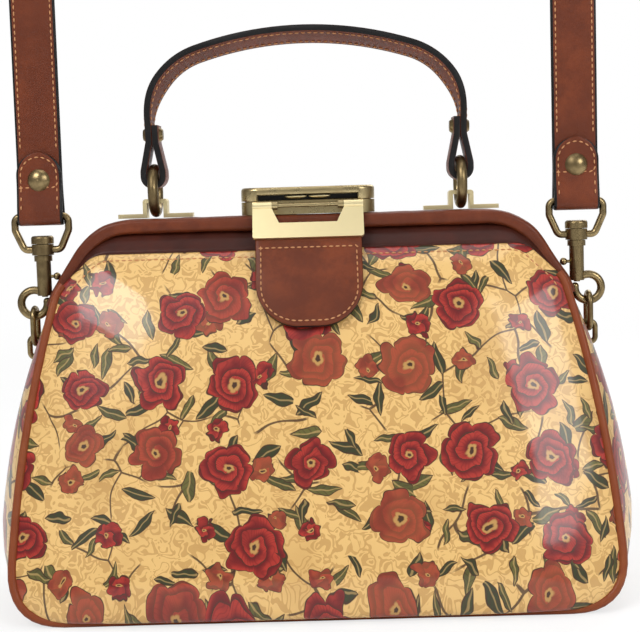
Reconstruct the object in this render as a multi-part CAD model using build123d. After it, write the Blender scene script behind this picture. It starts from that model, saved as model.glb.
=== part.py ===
# Frame-closure satchel with a flat top handle and a clip-on shoulder strap.
# Millimetres. The base stands on Z = 0, the front faces -Y and the width runs along X.
import os
from math import cos, hypot, radians, sin, sqrt, tan

from build123d import *

# Body, measured along the leaning front and back panels
panel_base_width = 320.0
panel_shoulder_width = 272.0
panel_shoulder_height = 174.0
panel_top_width = 214.0
panel_height = 204.0
panel_side_bow = 4.0
panel_corner_radius = 26.0
panel_shoulder_radius = 16.0
panel_top_radius = 16.0
panel_tilt_deg = 16.0
panel_bulge = 15.0
panel_bulge_height = 74.0
body_wall = 2.4
base_depth = 148.0
bulge_scale_shares = (1.0, 0.9, 0.66, 0.36)
bulge_height_shares = (0.0, 0.4, 0.82, 1.0)

# Middle line of the side and base strip
middle_base_width = 356.0
middle_corner_radius = 45.0
middle_shoulder_width = 300.0
middle_shoulder_height = 165.0
middle_shoulder_radius = 30.0
middle_side_bow = 10.0
quarter_fullness_share = 0.78

# Piping and base board
piping_diameter = 5.0
board_height = 6.5
board_margin = 12.0

# Closing frame
frame_top_width = 236.0
frame_top_height = 214.0
frame_corner_radius = 40.0
frame_end_width = 296.0
frame_end_height = 172.0
frame_gap = 2.0
cover_depth = 12.0
cover_height = 9.0
cover_round = 3.0
cover_end_clearance = 4.0
bar_depth = 7.0
bar_height = 4.0
pivot_drop = 8.0
pivot_diameter = 4.0
pivot_running_clearance = 0.05
pivot_head_diameter = 7.0
pivot_head_height = 1.2
ear_thickness = 2.4
ear_width = 8.0
ear_gap = 0.5
ear_inner_width = 279.0
ear_reach = 17.0

# Lock box on the front half of the frame
lock_length = 77.0
lock_depth = 21.0
lock_base_height = 7.4
lock_lid_height = 7.8
lock_split = 0.4
lock_edge_radius = 2.0
lock_slot_length = 58.0
lock_slot_height = 3.6
lock_slot_depth = 6.0
clip_length = 27.0
clip_lobe_height = 2.6
clip_lobe_depth = 4.0
clip_plate = 1.2
clip_gap = 1.0

# Hasp plate, its pin and the leather tab
hasp_width = 63.0
hasp_height = 21.0
hasp_thickness = 1.8
hasp_leg_width = 11.0
hasp_window_low_width = 33.0
hasp_window_height = 11.5
hasp_tilt_deg = 29.0
hasp_corner_radius = 1.5
hasp_pin_diameter = 2.2
hasp_knuckle_diameter = 4.6
hasp_pin_clearance = 0.05
hasp_lug_width = 3.0
hasp_lug_gap = 0.3
hasp_reach = 3.0
tab_width = 60.0
tab_length = 50.0
tab_thickness = 3.2
tab_lap = 3.0
tab_corner_radius = 24.0
tab_top_radius = 3.0

# Handle brackets and rings on the back half of the frame
bracket_spacing = 178.0
bracket_foot_length = 14.5
bracket_thickness = 2.4
bracket_width = 10.0
bracket_tunnel_width = 9.5
bracket_tunnel_height = 8.6
bracket_corner_radius = 1.8
ring_wire = 6.0
ring_inner_diameter = 19.0
ring_seat_clearance = 0.3

# Handle strap
handle_width = 16.0
handle_thickness = 3.6
handle_top_height = 322.0
handle_corner_radius = 42.0
handle_top_radius = 200.0
handle_loop_clearance = 0.7
handle_loop_drop = 2.8
handle_tail_height = 34.8
handle_neck_height = 19.5
handle_rivet_height = 29.5
lap_gap = 0.3
rivet_cap_diameter = 9.0
rivet_cap_height = 2.0
rivet_shank_diameter = 4.0

# Shoulder strap and the loops of its swivel clips
strap_width = 26.0
strap_thickness = 2.8
strap_spacing = 310.0
strap_fold_height = 216.0
strap_fold_length = 42.0
strap_neck_length = 16.0
strap_twist_start = 356.0
strap_twist_length = 64.0
strap_twist_steps = 8
strap_arch_route = ((155.0, 450.0), (133.0, 490.0), (95.0, 513.0), (50.0, 523.0))
strap_rivet_height = 26.0
strap_rivet_diameter = 13.0
strap_rivet_dome = 3.0
loop_wire = 4.2
loop_clearance = 0.45
loop_shoulder_height = 8.0
loop_bend_radius = 3.5
eye_diameter = 12.6
eye_height = 6.2
eye_clearance = 0.35

# Swivel clips: head, neck, shank, hook and bolt
head_diameter = 13.0
head_height = 4.6
neck_diameter = 7.0
shoulder_diameter = 10.4
shoulder_height = 3.2
shank_diameter = 8.4
shank_length = 20.0
hook_wire = 4.6
hook_radius = 7.6
hook_offset = 6.4
hook_start_deg = 118.0
hook_end_deg = -186.0
bolt_diameter = 3.6
bolt_clearance = 0.06
bolt_travel = 6.5
bolt_tip_gap = 0.5
bolt_top_gap = 1.0
bolt_slot_width = 2.4
bolt_stem_diameter = 1.9
bolt_stem_height = 11.0
bolt_knob_diameter = 4.4
bolt_knob_reach = 7.6

# Chain links and the staples on the bag's sides
link_wire = 3.4
link_inner_width = 8.8
link_length = 24.0
staple_wire = 3.2
staple_reach = 9.0
staple_height = 12.0
link_slack = 0.5

# One overrun for every cut
overrun = 5.0
corner_tolerance = 0.001
fold_round_share = 0.96
arch_round_share = 0.45
cap_top_share = 0.66
head_round_share = 0.33

# Derived places
pivot_height = frame_end_height - pivot_drop
tilt = radians(panel_tilt_deg)
piping_radius = piping_diameter / 2
cover_middle = frame_gap / 2 + cover_depth / 2
cover_top = frame_top_height + cover_height / 2
seam_front = Plane(
    origin=(0, -base_depth / 2, piping_radius),
    x_dir=(1, 0, 0),
    z_dir=(0, -cos(tilt), sin(tilt)),
)
seam_quarter = Plane(
    origin=(0, -base_depth / 4, piping_radius * (1 - quarter_fullness_share)),
    x_dir=(1, 0, 0),
    z_dir=(0, -cos(tilt / 2), sin(tilt / 2)),
)


def bowed_outline(base, base_radius, shoulder, shoulder_z, shoulder_radius, top, top_z, top_radius, bow, low):
    """Bag outline: flat base, bowed sides, sloping shoulders and a straight top."""
    right_low = (base / 2, low)
    right_shoulder = (shoulder / 2, shoulder_z)
    right_top = (top / 2, top_z)
    left_top = (-top / 2, top_z)
    left_shoulder = (-shoulder / 2, shoulder_z)
    left_low = (-base / 2, low)
    edges = Line(left_low, right_low)
    edges += SagittaArc(right_low, right_shoulder, -bow)
    edges += Line(right_shoulder, right_top)
    edges += Line(right_top, left_top)
    edges += Line(left_top, left_shoulder)
    edges += SagittaArc(left_shoulder, left_low, -bow)
    face = make_face(edges)
    corners = face.vertices().sort_by(Axis.Y)
    face = fillet(corners[0:2], base_radius)
    corners = face.vertices().filter_by(lambda v: abs(v.Y - shoulder_z) < corner_tolerance)
    face = fillet(corners, shoulder_radius)
    corners = face.vertices().filter_by(lambda v: abs(v.Y - top_z) < corner_tolerance)
    return fillet(corners, top_radius)


def panel_outline(inset):
    """Outline of the front and back panels in their leaning plane, drawn in by inset."""
    return bowed_outline(
        panel_base_width - 2 * inset,
        panel_corner_radius - inset,
        panel_shoulder_width - 2 * inset,
        panel_shoulder_height - inset,
        panel_shoulder_radius,
        panel_top_width - 2 * inset,
        panel_height - inset,
        panel_top_radius,
        panel_side_bow,
        inset,
    )


def side_outline(inset, share):
    """Outline of the side and base strip, share of the way from the seam to the middle."""

    def between(seam, middle):
        return seam + share * (middle - seam)

    return bowed_outline(
        between(panel_base_width, middle_base_width) - 2 * inset,
        between(panel_corner_radius, middle_corner_radius) - inset,
        between(panel_shoulder_width, middle_shoulder_width) - 2 * inset,
        between(panel_shoulder_height, middle_shoulder_height) - inset,
        between(panel_shoulder_radius, middle_shoulder_radius),
        between(panel_top_width, frame_top_width) - 2 * inset,
        between(panel_height, frame_top_height) - inset,
        between(panel_top_radius, frame_corner_radius),
        between(panel_side_bow, middle_side_bow),
        inset,
    )


def pillow(inset):
    """Crowned panel form, lofted from shrinking copies of the panel outline."""
    outline = panel_outline(inset)
    centre = Pos(0, panel_bulge_height)
    sections = []
    for scale_share, height_share in zip(bulge_scale_shares, bulge_height_shares):
        section = centre * scale(Pos(0, -panel_bulge_height) * outline, scale_share)
        lift = height_share * (panel_bulge - inset)
        sections.append(Pos(0, 0, lift) * section)
    return seam_front * loft(sections)


def body_ring(inset):
    """Side and base strip as one closed form between the two leaning seams."""
    front = seam_front * panel_outline(inset)
    quarter = seam_quarter * side_outline(inset, quarter_fullness_share)
    middle = Plane.XZ * side_outline(inset, 1)
    return loft([front, quarter, middle, mirror(quarter, Plane.XZ), mirror(front, Plane.XZ)])


def half_space(centre, size):
    """Box that keeps one part of a cut."""
    return Pos(*centre) * Box(*size)


# Front and back panels as open crowned shells
reach = 2 * max(middle_base_width, handle_top_height)
panel_outer = pillow(0)
panel_inner = pillow(body_wall)
seam_plug = extrude(seam_front * panel_outline(body_wall), -overrun)
front_panel = panel_outer - panel_inner - seam_plug

# Piping along the sides and the base of each panel
piping_edges = panel_outline(0).edges().filter_by(
    lambda e: e.center().Y < panel_shoulder_height - panel_shoulder_radius / 2
)
piping_wire = seam_front * Wire(piping_edges)
piping_start = piping_wire @ 0
piping_section = Plane(origin=piping_start, z_dir=piping_wire % 0) * Circle(piping_radius)
front_piping = sweep(piping_section, piping_wire)
front_panel -= front_piping
back_panel = mirror(front_panel, Plane.XZ)
back_piping = mirror(front_piping, Plane.XZ)

# Side and base strip with the print, and the plain bands that meet the frame
ring_outer = body_ring(0)
ring_inner = body_ring(body_wall)
ring_shell = ring_outer - ring_inner
low_box = half_space((0, 0, middle_shoulder_height - reach / 2), (reach, reach, reach))
gusset = (ring_shell & low_box) - front_piping - back_piping

# Stiff board that lies on the base inside
board_box = half_space((0, 0, board_height - reach / 2), (reach, base_depth - 2 * board_margin, reach))
base_board = ring_inner & board_box


def frame_path():
    """Path of one frame half: a straight top with sloping arms, in the XZ plane."""
    points = [
        (-frame_end_width / 2, 0, frame_end_height),
        (-frame_top_width / 2, 0, frame_top_height),
        (frame_top_width / 2, 0, frame_top_height),
        (frame_end_width / 2, 0, frame_end_height),
    ]
    return FilletPolyline(*points, radius=frame_corner_radius)


def frame_sweep(section):
    """Sweep a section along the frame path, set to the front half."""
    path = frame_path()
    start = Plane(origin=path @ 0, x_dir=(0, 1, 0), z_dir=path % 0)
    return Pos(0, -cover_middle, 0) * sweep(start * section, path)


def pivot_ear(outer_x):
    """Flat ear that joins a front bar end to its pivot, inwards of outer_x."""
    rise = hypot(ear_reach, cover_middle)
    lean = Plane(origin=(outer_x, 0, pivot_height), x_dir=(0, -cover_middle, ear_reach), z_dir=(-1, 0, 0))
    shape = Pos(rise / 2, 0) * SlotCenterToCenter(rise, ear_width)
    return extrude(lean * shape, ear_thickness)


# Metal bars of the two frame halves, with their pivot ears and pins
frame_bar = frame_sweep(Rectangle(bar_depth, bar_height))
back_ear_x = ear_inner_width / 2 + ear_thickness
front_ear_x = back_ear_x + ear_gap + ear_thickness
pivot_axis = Pos(0, 0, pivot_height) * Rot(0, 90, 0)
front_bore = pivot_axis * Cylinder(pivot_diameter / 2 + pivot_running_clearance, reach)
back_bore = pivot_axis * Cylinder(pivot_diameter / 2, reach)
front_frame_bar = frame_bar + pivot_ear(front_ear_x) + mirror(pivot_ear(front_ear_x), Plane.YZ)
back_frame_bar = frame_bar + pivot_ear(back_ear_x) + mirror(pivot_ear(back_ear_x), Plane.YZ)
back_frame_bar = mirror(back_frame_bar, Plane.XZ) - back_bore
front_frame_bar -= front_bore
pin_length = 2 * ear_thickness + ear_gap
pin_shank = Cylinder(pivot_diameter / 2, pin_length, align=(Align.CENTER, Align.CENTER, Align.MIN))
pin_head = Cylinder(pivot_head_diameter / 2, pivot_head_height, align=(Align.CENTER, Align.CENTER, Align.MAX))
pivot_pin_right = Pos(ear_inner_width / 2, 0, pivot_height) * Rot(0, 90, 0) * (pin_shank + pin_head)
pivot_pin_left = mirror(pivot_pin_right, Plane.YZ)

# Rolled leather that covers the bars, with the ends trimmed above the pivots
cover_section = fillet(Rectangle(cover_depth, cover_height).vertices(), cover_round)
cover_roll = frame_sweep(cover_section)
cover_trim_height = pivot_height + ear_width / 2 + cover_end_clearance
cover_roll -= half_space((0, 0, cover_trim_height - reach / 2), (reach, reach, reach))
front_frame_cover = cover_roll - front_frame_bar
back_frame_cover = mirror(cover_roll, Plane.XZ) - back_frame_bar
band_space = half_space(
    (0, -cover_middle - reach / 2, middle_shoulder_height + reach / 2),
    (reach, reach, reach),
)
front_band = (ring_shell & band_space) - cover_roll - front_frame_bar - front_piping
back_band = (mirror(ring_shell & band_space, Plane.XZ)) - mirror(cover_roll, Plane.XZ)
back_band = back_band - back_frame_bar - back_piping

# Lock box: base, lid with its front slot, and the spring clip inside the slot
lock_plan = SlotOverall(lock_length, lock_depth)
lock_floor = cover_top
lock_base = Pos(0, 0, lock_floor) * extrude(lock_plan, lock_base_height)
lid_floor = lock_floor + lock_base_height + lock_split
lock_lid = Pos(0, 0, lid_floor) * extrude(lock_plan, lock_lid_height)
lock_lid = fillet(lock_lid.faces().sort_by(Axis.Z)[-1].edges(), lock_edge_radius)
lid_step = SlotOverall(lock_length - 2 * lock_edge_radius, lock_depth - 2 * lock_edge_radius)
lock_base += Pos(0, 0, lock_floor + lock_base_height) * extrude(lid_step, lock_split)
slot_centre_y = -lock_depth / 2 + lock_slot_depth / 2
slot_cut = half_space(
    (0, slot_centre_y - overrun / 2, lid_floor + lock_slot_height / 2),
    (lock_slot_length, lock_slot_depth + overrun, lock_slot_height),
)
lock_lid -= slot_cut
clip_lobe = SlotOverall((clip_length - clip_gap) / 2, clip_lobe_height)
clip_plane = Plane(
    origin=(0, -lock_depth / 2 + lock_slot_depth, lid_floor + lock_slot_height - clip_lobe_height / 2),
    x_dir=(1, 0, 0),
    z_dir=(0, -1, 0),
)
lock_spring_clip = Sketch() + [Pos(side * (clip_length + clip_gap) / 4, 0) * clip_lobe for side in (-1, 1)]
lock_spring_clip = extrude(clip_plane * lock_spring_clip, clip_lobe_depth)
lock_spring_clip += extrude(clip_plane * Rectangle(clip_length, clip_lobe_height), clip_plate)

# Hasp plate on its pin, in a plane that leans out over the front panel
hinge_y = -lock_depth / 2 - hasp_reach
hinge_z = lock_floor + lock_base_height - hasp_knuckle_diameter / 2
lean = radians(hasp_tilt_deg)
hasp_plane = Plane(
    origin=(0, hinge_y, hinge_z),
    x_dir=(1, 0, 0),
    z_dir=(0, -cos(lean), sin(lean)),
)
plate = Pos(0, -hasp_height / 2) * Rectangle(hasp_width, hasp_height)
plate = fillet(plate.vertices().sort_by(Axis.Y)[0:2], hasp_corner_radius)
window_top = hasp_width - 2 * hasp_leg_width
window = make_face(
    Polyline(
        (-window_top / 2, overrun),
        (window_top / 2, overrun),
        (window_top / 2, -hasp_knuckle_diameter / 2),
        (hasp_window_low_width / 2, -hasp_window_height),
        (-hasp_window_low_width / 2, -hasp_window_height),
        (-window_top / 2, -hasp_knuckle_diameter / 2),
        (-window_top / 2, overrun),
    )
)
hasp_plate = extrude(hasp_plane * (plate - window), hasp_thickness / 2, both=True)
hinge_axis = Pos(0, hinge_y, hinge_z) * Rot(0, 90, 0)
knuckle_middle = hasp_width / 2 - hasp_leg_width / 2
for side in (-1, 1):
    knuckle = Cylinder(hasp_knuckle_diameter / 2, hasp_leg_width)
    hasp_plate += Pos(side * knuckle_middle, 0, 0) * (hinge_axis * knuckle)
hasp_plate -= hinge_axis * Cylinder(hasp_pin_diameter / 2 + hasp_pin_clearance, reach)
hasp_pin = hinge_axis * Cylinder(hasp_pin_diameter / 2, hasp_width)
lug_profile = Circle(hasp_knuckle_diameter / 2)
lug_profile += Pos(0, hasp_reach) * Rectangle(hasp_knuckle_diameter, 2 * hasp_reach)
lug_middle = hasp_width / 2 - hasp_leg_width - hasp_lug_gap - hasp_lug_width / 2
for side in (-1, 1):
    lug = extrude(lug_profile, hasp_lug_width / 2, both=True)
    lock_base += Pos(side * lug_middle, 0, 0) * (hinge_axis * lug)
lock_base -= hasp_pin

# Leather tab that laps behind the lower edge of the hasp plate
tab_shape = Pos(0, -tab_length / 2) * Rectangle(tab_width, tab_length)
tab_shape = fillet(tab_shape.vertices().sort_by(Axis.Y)[0:2], tab_corner_radius)
tab_shape = fillet(tab_shape.vertices().sort_by(Axis.Y)[-2:], tab_top_radius)
tab_place = Pos(0, -hasp_height + tab_lap, -hasp_thickness / 2)
clasp_tab = hasp_plane * (tab_place * extrude(tab_shape, -tab_thickness))

# Handle brackets: bent strips with two feet and a tunnel for the ring
bracket_outer = bracket_tunnel_width + 2 * bracket_thickness
bracket_top = bracket_tunnel_height + bracket_thickness
foot_span = bracket_outer + 2 * bracket_foot_length
bracket_profile = Rectangle(bracket_outer, bracket_top, align=(Align.CENTER, Align.MIN))
bracket_profile = fillet(bracket_profile.vertices().sort_by(Axis.Y)[-2:], bracket_corner_radius)
bracket_profile += Rectangle(foot_span, bracket_thickness, align=(Align.CENTER, Align.MIN))
bracket_profile -= Rectangle(bracket_tunnel_width, bracket_tunnel_height, align=(Align.CENTER, Align.MIN))
bracket = extrude(Plane.XZ * bracket_profile, bracket_width / 2, both=True)
bracket_x = bracket_spacing / 2
handle_bracket_right = Pos(bracket_x, cover_middle, cover_top) * bracket
handle_bracket_left = mirror(handle_bracket_right, Plane.YZ)

# Rings that hang the handle in the brackets
ring_middle_radius = ring_inner_diameter / 2 + ring_wire / 2
ring_height = cover_top + ring_seat_clearance + ring_inner_diameter / 2 + ring_wire
ring = Rot(0, 90, 0) * Torus(ring_middle_radius, ring_wire / 2)
handle_ring_right = Pos(bracket_x, cover_middle, ring_height) * ring
handle_ring_left = mirror(handle_ring_right, Plane.YZ)

# Handle strap: a tail, a loop through the ring, a neck and three tangent arcs over the top
loop_half = ring_wire / 2 + handle_loop_clearance + handle_thickness / 2
loop_low = ring_height + handle_loop_drop
loop_centre = loop_low + loop_half
neck_half = handle_thickness / 2 + lap_gap / 2
neck_low = loop_centre + handle_neck_height
rise_x = bracket_x + neck_half
tail_x = bracket_x - neck_half
arch_drop = sqrt((handle_top_radius - handle_corner_radius) ** 2 - (rise_x - handle_corner_radius) ** 2)
corner_z = handle_top_height - handle_top_radius + arch_drop
top_centre_z = handle_top_height - handle_top_radius
meet_share = handle_top_radius / (handle_top_radius - handle_corner_radius)
meet_x = (rise_x - handle_corner_radius) * meet_share
meet_z = top_centre_z + arch_drop * meet_share
loop_line = FilletPolyline(
    (tail_x, loop_low + handle_tail_height),
    (tail_x, neck_low),
    (bracket_x - loop_half, loop_centre + loop_half / 2),
    (bracket_x - loop_half, loop_low),
    (bracket_x + loop_half, loop_low),
    (bracket_x + loop_half, loop_centre + loop_half / 2),
    (rise_x, neck_low),
    (rise_x, corner_z),
    radius=loop_half * fold_round_share,
)
corner_arc = TangentArc((rise_x, corner_z), (meet_x, meet_z), tangent=(0, 1))
top_arc = ThreePointArc((meet_x, meet_z), (0, handle_top_height), (-meet_x, meet_z))
half_line = loop_line + corner_arc
handle_line = Wire(half_line.edges() + mirror(half_line, Plane.YZ).edges() + top_arc.edges())
handle_plane = Plane(origin=(0, cover_middle, 0), x_dir=(1, 0, 0), z_dir=(0, -1, 0))
handle_wire = handle_plane * handle_line
handle_section = Plane(origin=handle_wire @ 0, x_dir=(0, 1, 0), z_dir=handle_wire % 0)
handle_section = handle_section * Rectangle(handle_width, handle_thickness)
handle_strap = sweep(handle_section, handle_wire)

# Cap rivets through the two layers at each handle end
rivet_z = loop_low + handle_rivet_height
rivet_shank = Cylinder(rivet_shank_diameter / 2, 2 * handle_thickness + lap_gap)
rivet_cap = Pos(0, 0, handle_thickness + lap_gap / 2) * Cone(
    rivet_cap_diameter / 2,
    rivet_cap_diameter / 2 * cap_top_share,
    rivet_cap_height,
    align=(Align.CENTER, Align.CENTER, Align.MIN),
)
handle_rivet = rivet_shank + rivet_cap + mirror(rivet_cap, Plane.XY)
handle_rivet_right = Pos(bracket_x, cover_middle, rivet_z) * Rot(0, 90, 0) * handle_rivet
handle_rivet_left = mirror(handle_rivet_right, Plane.YZ)
rivet_hole = Cylinder(rivet_shank_diameter / 2, 2 * (handle_thickness + rivet_cap_height))
rivet_hole = Pos(bracket_x, cover_middle, rivet_z) * Rot(0, 90, 0) * rivet_hole
handle_strap = handle_strap - rivet_hole - mirror(rivet_hole, Plane.YZ)

# Shoulder strap end: a tab folded round the loop's bar, then the strap going up
strap_x = strap_spacing / 2
fold_half = loop_wire / 2 + loop_clearance + strap_thickness / 2
fold_low = strap_fold_height + strap_thickness / 2
bar_height_z = fold_low + fold_half
lap_half = strap_thickness / 2 + lap_gap / 2
neck_z = bar_height_z + strap_neck_length
fold_line = FilletPolyline(
    (-lap_half, strap_fold_height + strap_fold_length),
    (-lap_half, neck_z),
    (-fold_half, bar_height_z + fold_half / 2),
    (-fold_half, fold_low),
    (fold_half, fold_low),
    (fold_half, bar_height_z + fold_half / 2),
    (lap_half, neck_z),
    (lap_half, strap_twist_start),
    radius=fold_half * fold_round_share,
)
fold_plane = Plane(origin=(strap_x, 0, 0), x_dir=(0, 1, 0), z_dir=(1, 0, 0))
fold_wire = fold_plane * Wire(fold_line.edges())
fold_section = Plane(origin=fold_wire @ 0, x_dir=(1, 0, 0), z_dir=fold_wire % 0)
strap_end = sweep(fold_section * Rectangle(strap_width, strap_thickness), fold_wire)
tip_radius = strap_width / 2
tip_top = strap_fold_height + strap_fold_length
tip_keep = Pos(strap_x, 0, tip_top - tip_radius) * Rot(90, 0, 0) * Cylinder(tip_radius, reach)
tip_zone = half_space(
    (strap_x, -reach / 2, tip_top - tip_radius / 2),
    (strap_width, reach, tip_radius),
)
strap_end = strap_end - (tip_zone - tip_keep)

# Quarter twist, then the arch that joins the two sides above
twist_sections = []
for step in range(strap_twist_steps + 1):
    turn_share = step / strap_twist_steps
    level = strap_twist_start + turn_share * strap_twist_length
    section = Rot(0, 0, 90 * turn_share) * Rectangle(strap_width, strap_thickness)
    twist_sections.append(Pos(strap_x, lap_half, level) * section)
strap_twist = loft(twist_sections, ruled=True)
arch_low = strap_twist_start + strap_twist_length
arch_half = [(strap_x, lap_half, arch_low)]
for out, up in strap_arch_route:
    arch_half.append((out, lap_half, up))
arch_points = arch_half + [(-out, level, up) for out, level, up in reversed(arch_half)]
arch_radii = []
for before, corner, after in zip(arch_points, arch_points[1:], arch_points[2:]):
    run_in = Vector(corner) - Vector(before)
    run_out = Vector(after) - Vector(corner)
    half_turn = radians(run_in.get_angle(run_out)) / 2
    arch_radii.append(arch_round_share * min(run_in.length, run_out.length) / tan(half_turn))
print("strap arch radii", [round(radius, 1) for radius in arch_radii])
arch_line = FilletPolyline(*arch_points, radius=arch_radii)
arch_section = Pos(strap_x, lap_half, arch_low) * Rectangle(strap_thickness, strap_width)
strap_arch = sweep(arch_section, Wire(arch_line.edges()))
strap_side = strap_end + strap_twist
shoulder_strap = strap_side + strap_arch + mirror(strap_side, Plane.YZ)

# Dome rivets through the folded strap ends
strap_rivet_z = strap_fold_height + strap_rivet_height
strap_shank = Cylinder(rivet_shank_diameter / 2, 2 * strap_thickness + lap_gap)
dome_low = strap_thickness + lap_gap / 2
dome_radius = (strap_rivet_diameter**2 / 4 + strap_rivet_dome**2) / (2 * strap_rivet_dome)
dome = Pos(0, 0, dome_low + strap_rivet_dome - dome_radius) * Sphere(dome_radius)
dome &= Pos(0, 0, dome_low) * Box(reach, reach, reach, align=(Align.CENTER, Align.CENTER, Align.MIN))
strap_rivet = strap_shank + dome + mirror(dome, Plane.XY)
strap_rivet_right = Pos(strap_x, 0, strap_rivet_z) * Rot(90, 0, 0) * strap_rivet
strap_rivet_left = mirror(strap_rivet_right, Plane.YZ)
shoulder_strap -= strap_rivet_right
shoulder_strap -= strap_rivet_left

# Loop that carries the strap, with the eye for the swivel
loop_half_width = strap_width / 2 + loop_clearance + loop_wire / 2
loop_shoulder_z = bar_height_z - loop_shoulder_height
eye_middle = loop_shoulder_z - loop_half_width + eye_diameter / 2 - loop_wire / 2
loop_points = [
    (strap_x - eye_diameter / 2 + loop_wire / 2, 0, eye_middle),
    (strap_x - eye_diameter / 2 - loop_wire, 0, eye_middle),
    (strap_x - loop_half_width, 0, loop_shoulder_z),
    (strap_x - loop_half_width, 0, bar_height_z),
    (strap_x + loop_half_width, 0, bar_height_z),
    (strap_x + loop_half_width, 0, loop_shoulder_z),
    (strap_x + eye_diameter / 2 + loop_wire, 0, eye_middle),
    (strap_x + eye_diameter / 2 - loop_wire / 2, 0, eye_middle),
]
loop_line = FilletPolyline(*loop_points, radius=loop_bend_radius)
loop_section = Plane(origin=loop_line @ 0, z_dir=loop_line % 0) * Circle(loop_wire / 2)
strap_loop_right = sweep(loop_section, Wire(loop_line.edges()))
eye = Pos(strap_x, 0, eye_middle) * Cylinder(eye_diameter / 2, eye_height)
eye_bore = Pos(strap_x, 0, eye_middle) * Cylinder(neck_diameter / 2 + eye_clearance, reach)
strap_loop_right = strap_loop_right + eye - eye_bore
strap_loop_left = mirror(strap_loop_right, Plane.YZ)

# Swivel clip: head above the eye, neck through it, then shoulder, shank and hook
low = (Align.CENTER, Align.CENTER, Align.MAX)
head_low = eye_middle + eye_height / 2 + eye_clearance
shoulder_top = eye_middle - eye_height / 2 - eye_clearance
shank_top = shoulder_top - shoulder_height
shank_low = shank_top - shank_length
head = Pos(strap_x, 0, head_low + head_height) * Cylinder(head_diameter / 2, head_height, align=low)
head = fillet(head.edges().sort_by(Axis.Z)[-1], head_height * head_round_share)
neck = Pos(strap_x, 0, head_low) * Cylinder(neck_diameter / 2, head_low - shoulder_top, align=low)
shoulder = Pos(strap_x, 0, shoulder_top) * Cylinder(shoulder_diameter / 2, shoulder_height, align=low)
shank = Pos(strap_x, 0, shank_top) * Cylinder(shank_diameter / 2, shank_length, align=low)
hook_x = strap_x + hook_offset
hook_z = shank_low - hook_radius * sin(radians(hook_start_deg)) + hook_wire / 2
hook_plane = Plane(origin=(hook_x, 0, hook_z), x_dir=(1, 0, 0), z_dir=(0, -1, 0))
hook_sweep = hook_end_deg - hook_start_deg
hook_line = hook_plane * CenterArc((0, 0), hook_radius, hook_start_deg, hook_sweep)
hook_section = Plane(origin=hook_line @ 0, z_dir=hook_line % 0) * Circle(hook_wire / 2)
hook = sweep(hook_section, hook_line)
tip = hook_line @ 1
tip_cap = Pos(tip) * Sphere(hook_wire / 2)
bolt_low = tip.Z + hook_wire / 2 + bolt_tip_gap
bolt_bore_top = shoulder_top
bolt_bore = Pos(strap_x, 0, bolt_bore_top) * Cylinder(
    bolt_diameter / 2 + bolt_clearance, bolt_bore_top - bolt_low + bolt_tip_gap / 2, align=low
)
stem_z = shank_low + bolt_stem_height
slot_low = stem_z - bolt_slot_width / 2
slot_high = stem_z + bolt_travel + bolt_slot_width / 2
bolt_slot = half_space(
    (strap_x - shank_diameter / 2, 0, (slot_low + slot_high) / 2),
    (shank_diameter, bolt_slot_width, slot_high - slot_low),
)
snap_hook_right = head + neck + shoulder + shank + hook + tip_cap - bolt_bore - bolt_slot
snap_hook_left = mirror(snap_hook_right, Plane.YZ)

# Spring bolt with its thumb knob
bolt_top = bolt_bore_top - bolt_travel - bolt_top_gap
bolt_pin = Pos(strap_x, 0, bolt_top) * Cylinder(bolt_diameter / 2, bolt_top - bolt_low, align=low)
stem = Pos(strap_x, 0, stem_z) * Rot(0, -90, 0) * Cylinder(
    bolt_stem_diameter / 2, bolt_knob_reach, align=(Align.CENTER, Align.CENTER, Align.MIN)
)
knob = Pos(strap_x - bolt_knob_reach, 0, stem_z) * Sphere(bolt_knob_diameter / 2)
snap_bolt_right = bolt_pin + stem + knob
snap_bolt_left = mirror(snap_bolt_right, Plane.YZ)

# Link between the hook and the staple on the bag's side
link_middle_width = link_inner_width + link_wire
link_top = hook_z - hook_radius + hook_wire / 2 + link_slack + link_wire
link_plane = Plane(origin=(hook_x, 0, link_top - link_length / 2), x_dir=(0, 0, 1), z_dir=(1, 0, 0))
link_path = SlotOverall(link_length - link_wire, link_middle_width).wire()
link_wire_path = link_plane * link_path
link_section = Plane(origin=link_wire_path @ 0, z_dir=link_wire_path % 0) * Circle(link_wire / 2)
side_link_right = sweep(link_section, link_wire_path)
side_link_left = mirror(side_link_right, Plane.YZ)

# Wire staple set in the side strip
staple_top = link_top - link_length + link_wire + link_slack + staple_wire / 2
staple_out = hook_x + link_wire / 2 + link_slack + staple_wire / 2
staple_in = staple_out - staple_reach - staple_wire
staple_points = [
    (staple_in, 0, staple_top),
    (staple_out, 0, staple_top),
    (staple_out, 0, staple_top - staple_height),
    (staple_in, 0, staple_top - staple_height),
]
staple_line = FilletPolyline(*staple_points, radius=staple_wire)
staple_section = Plane(origin=staple_line @ 0, z_dir=staple_line % 0) * Circle(staple_wire / 2)
side_staple_right = sweep(staple_section, Wire(staple_line.edges()))
side_staple_left = mirror(side_staple_right, Plane.YZ)
gusset = gusset - side_staple_right - side_staple_left

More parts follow.
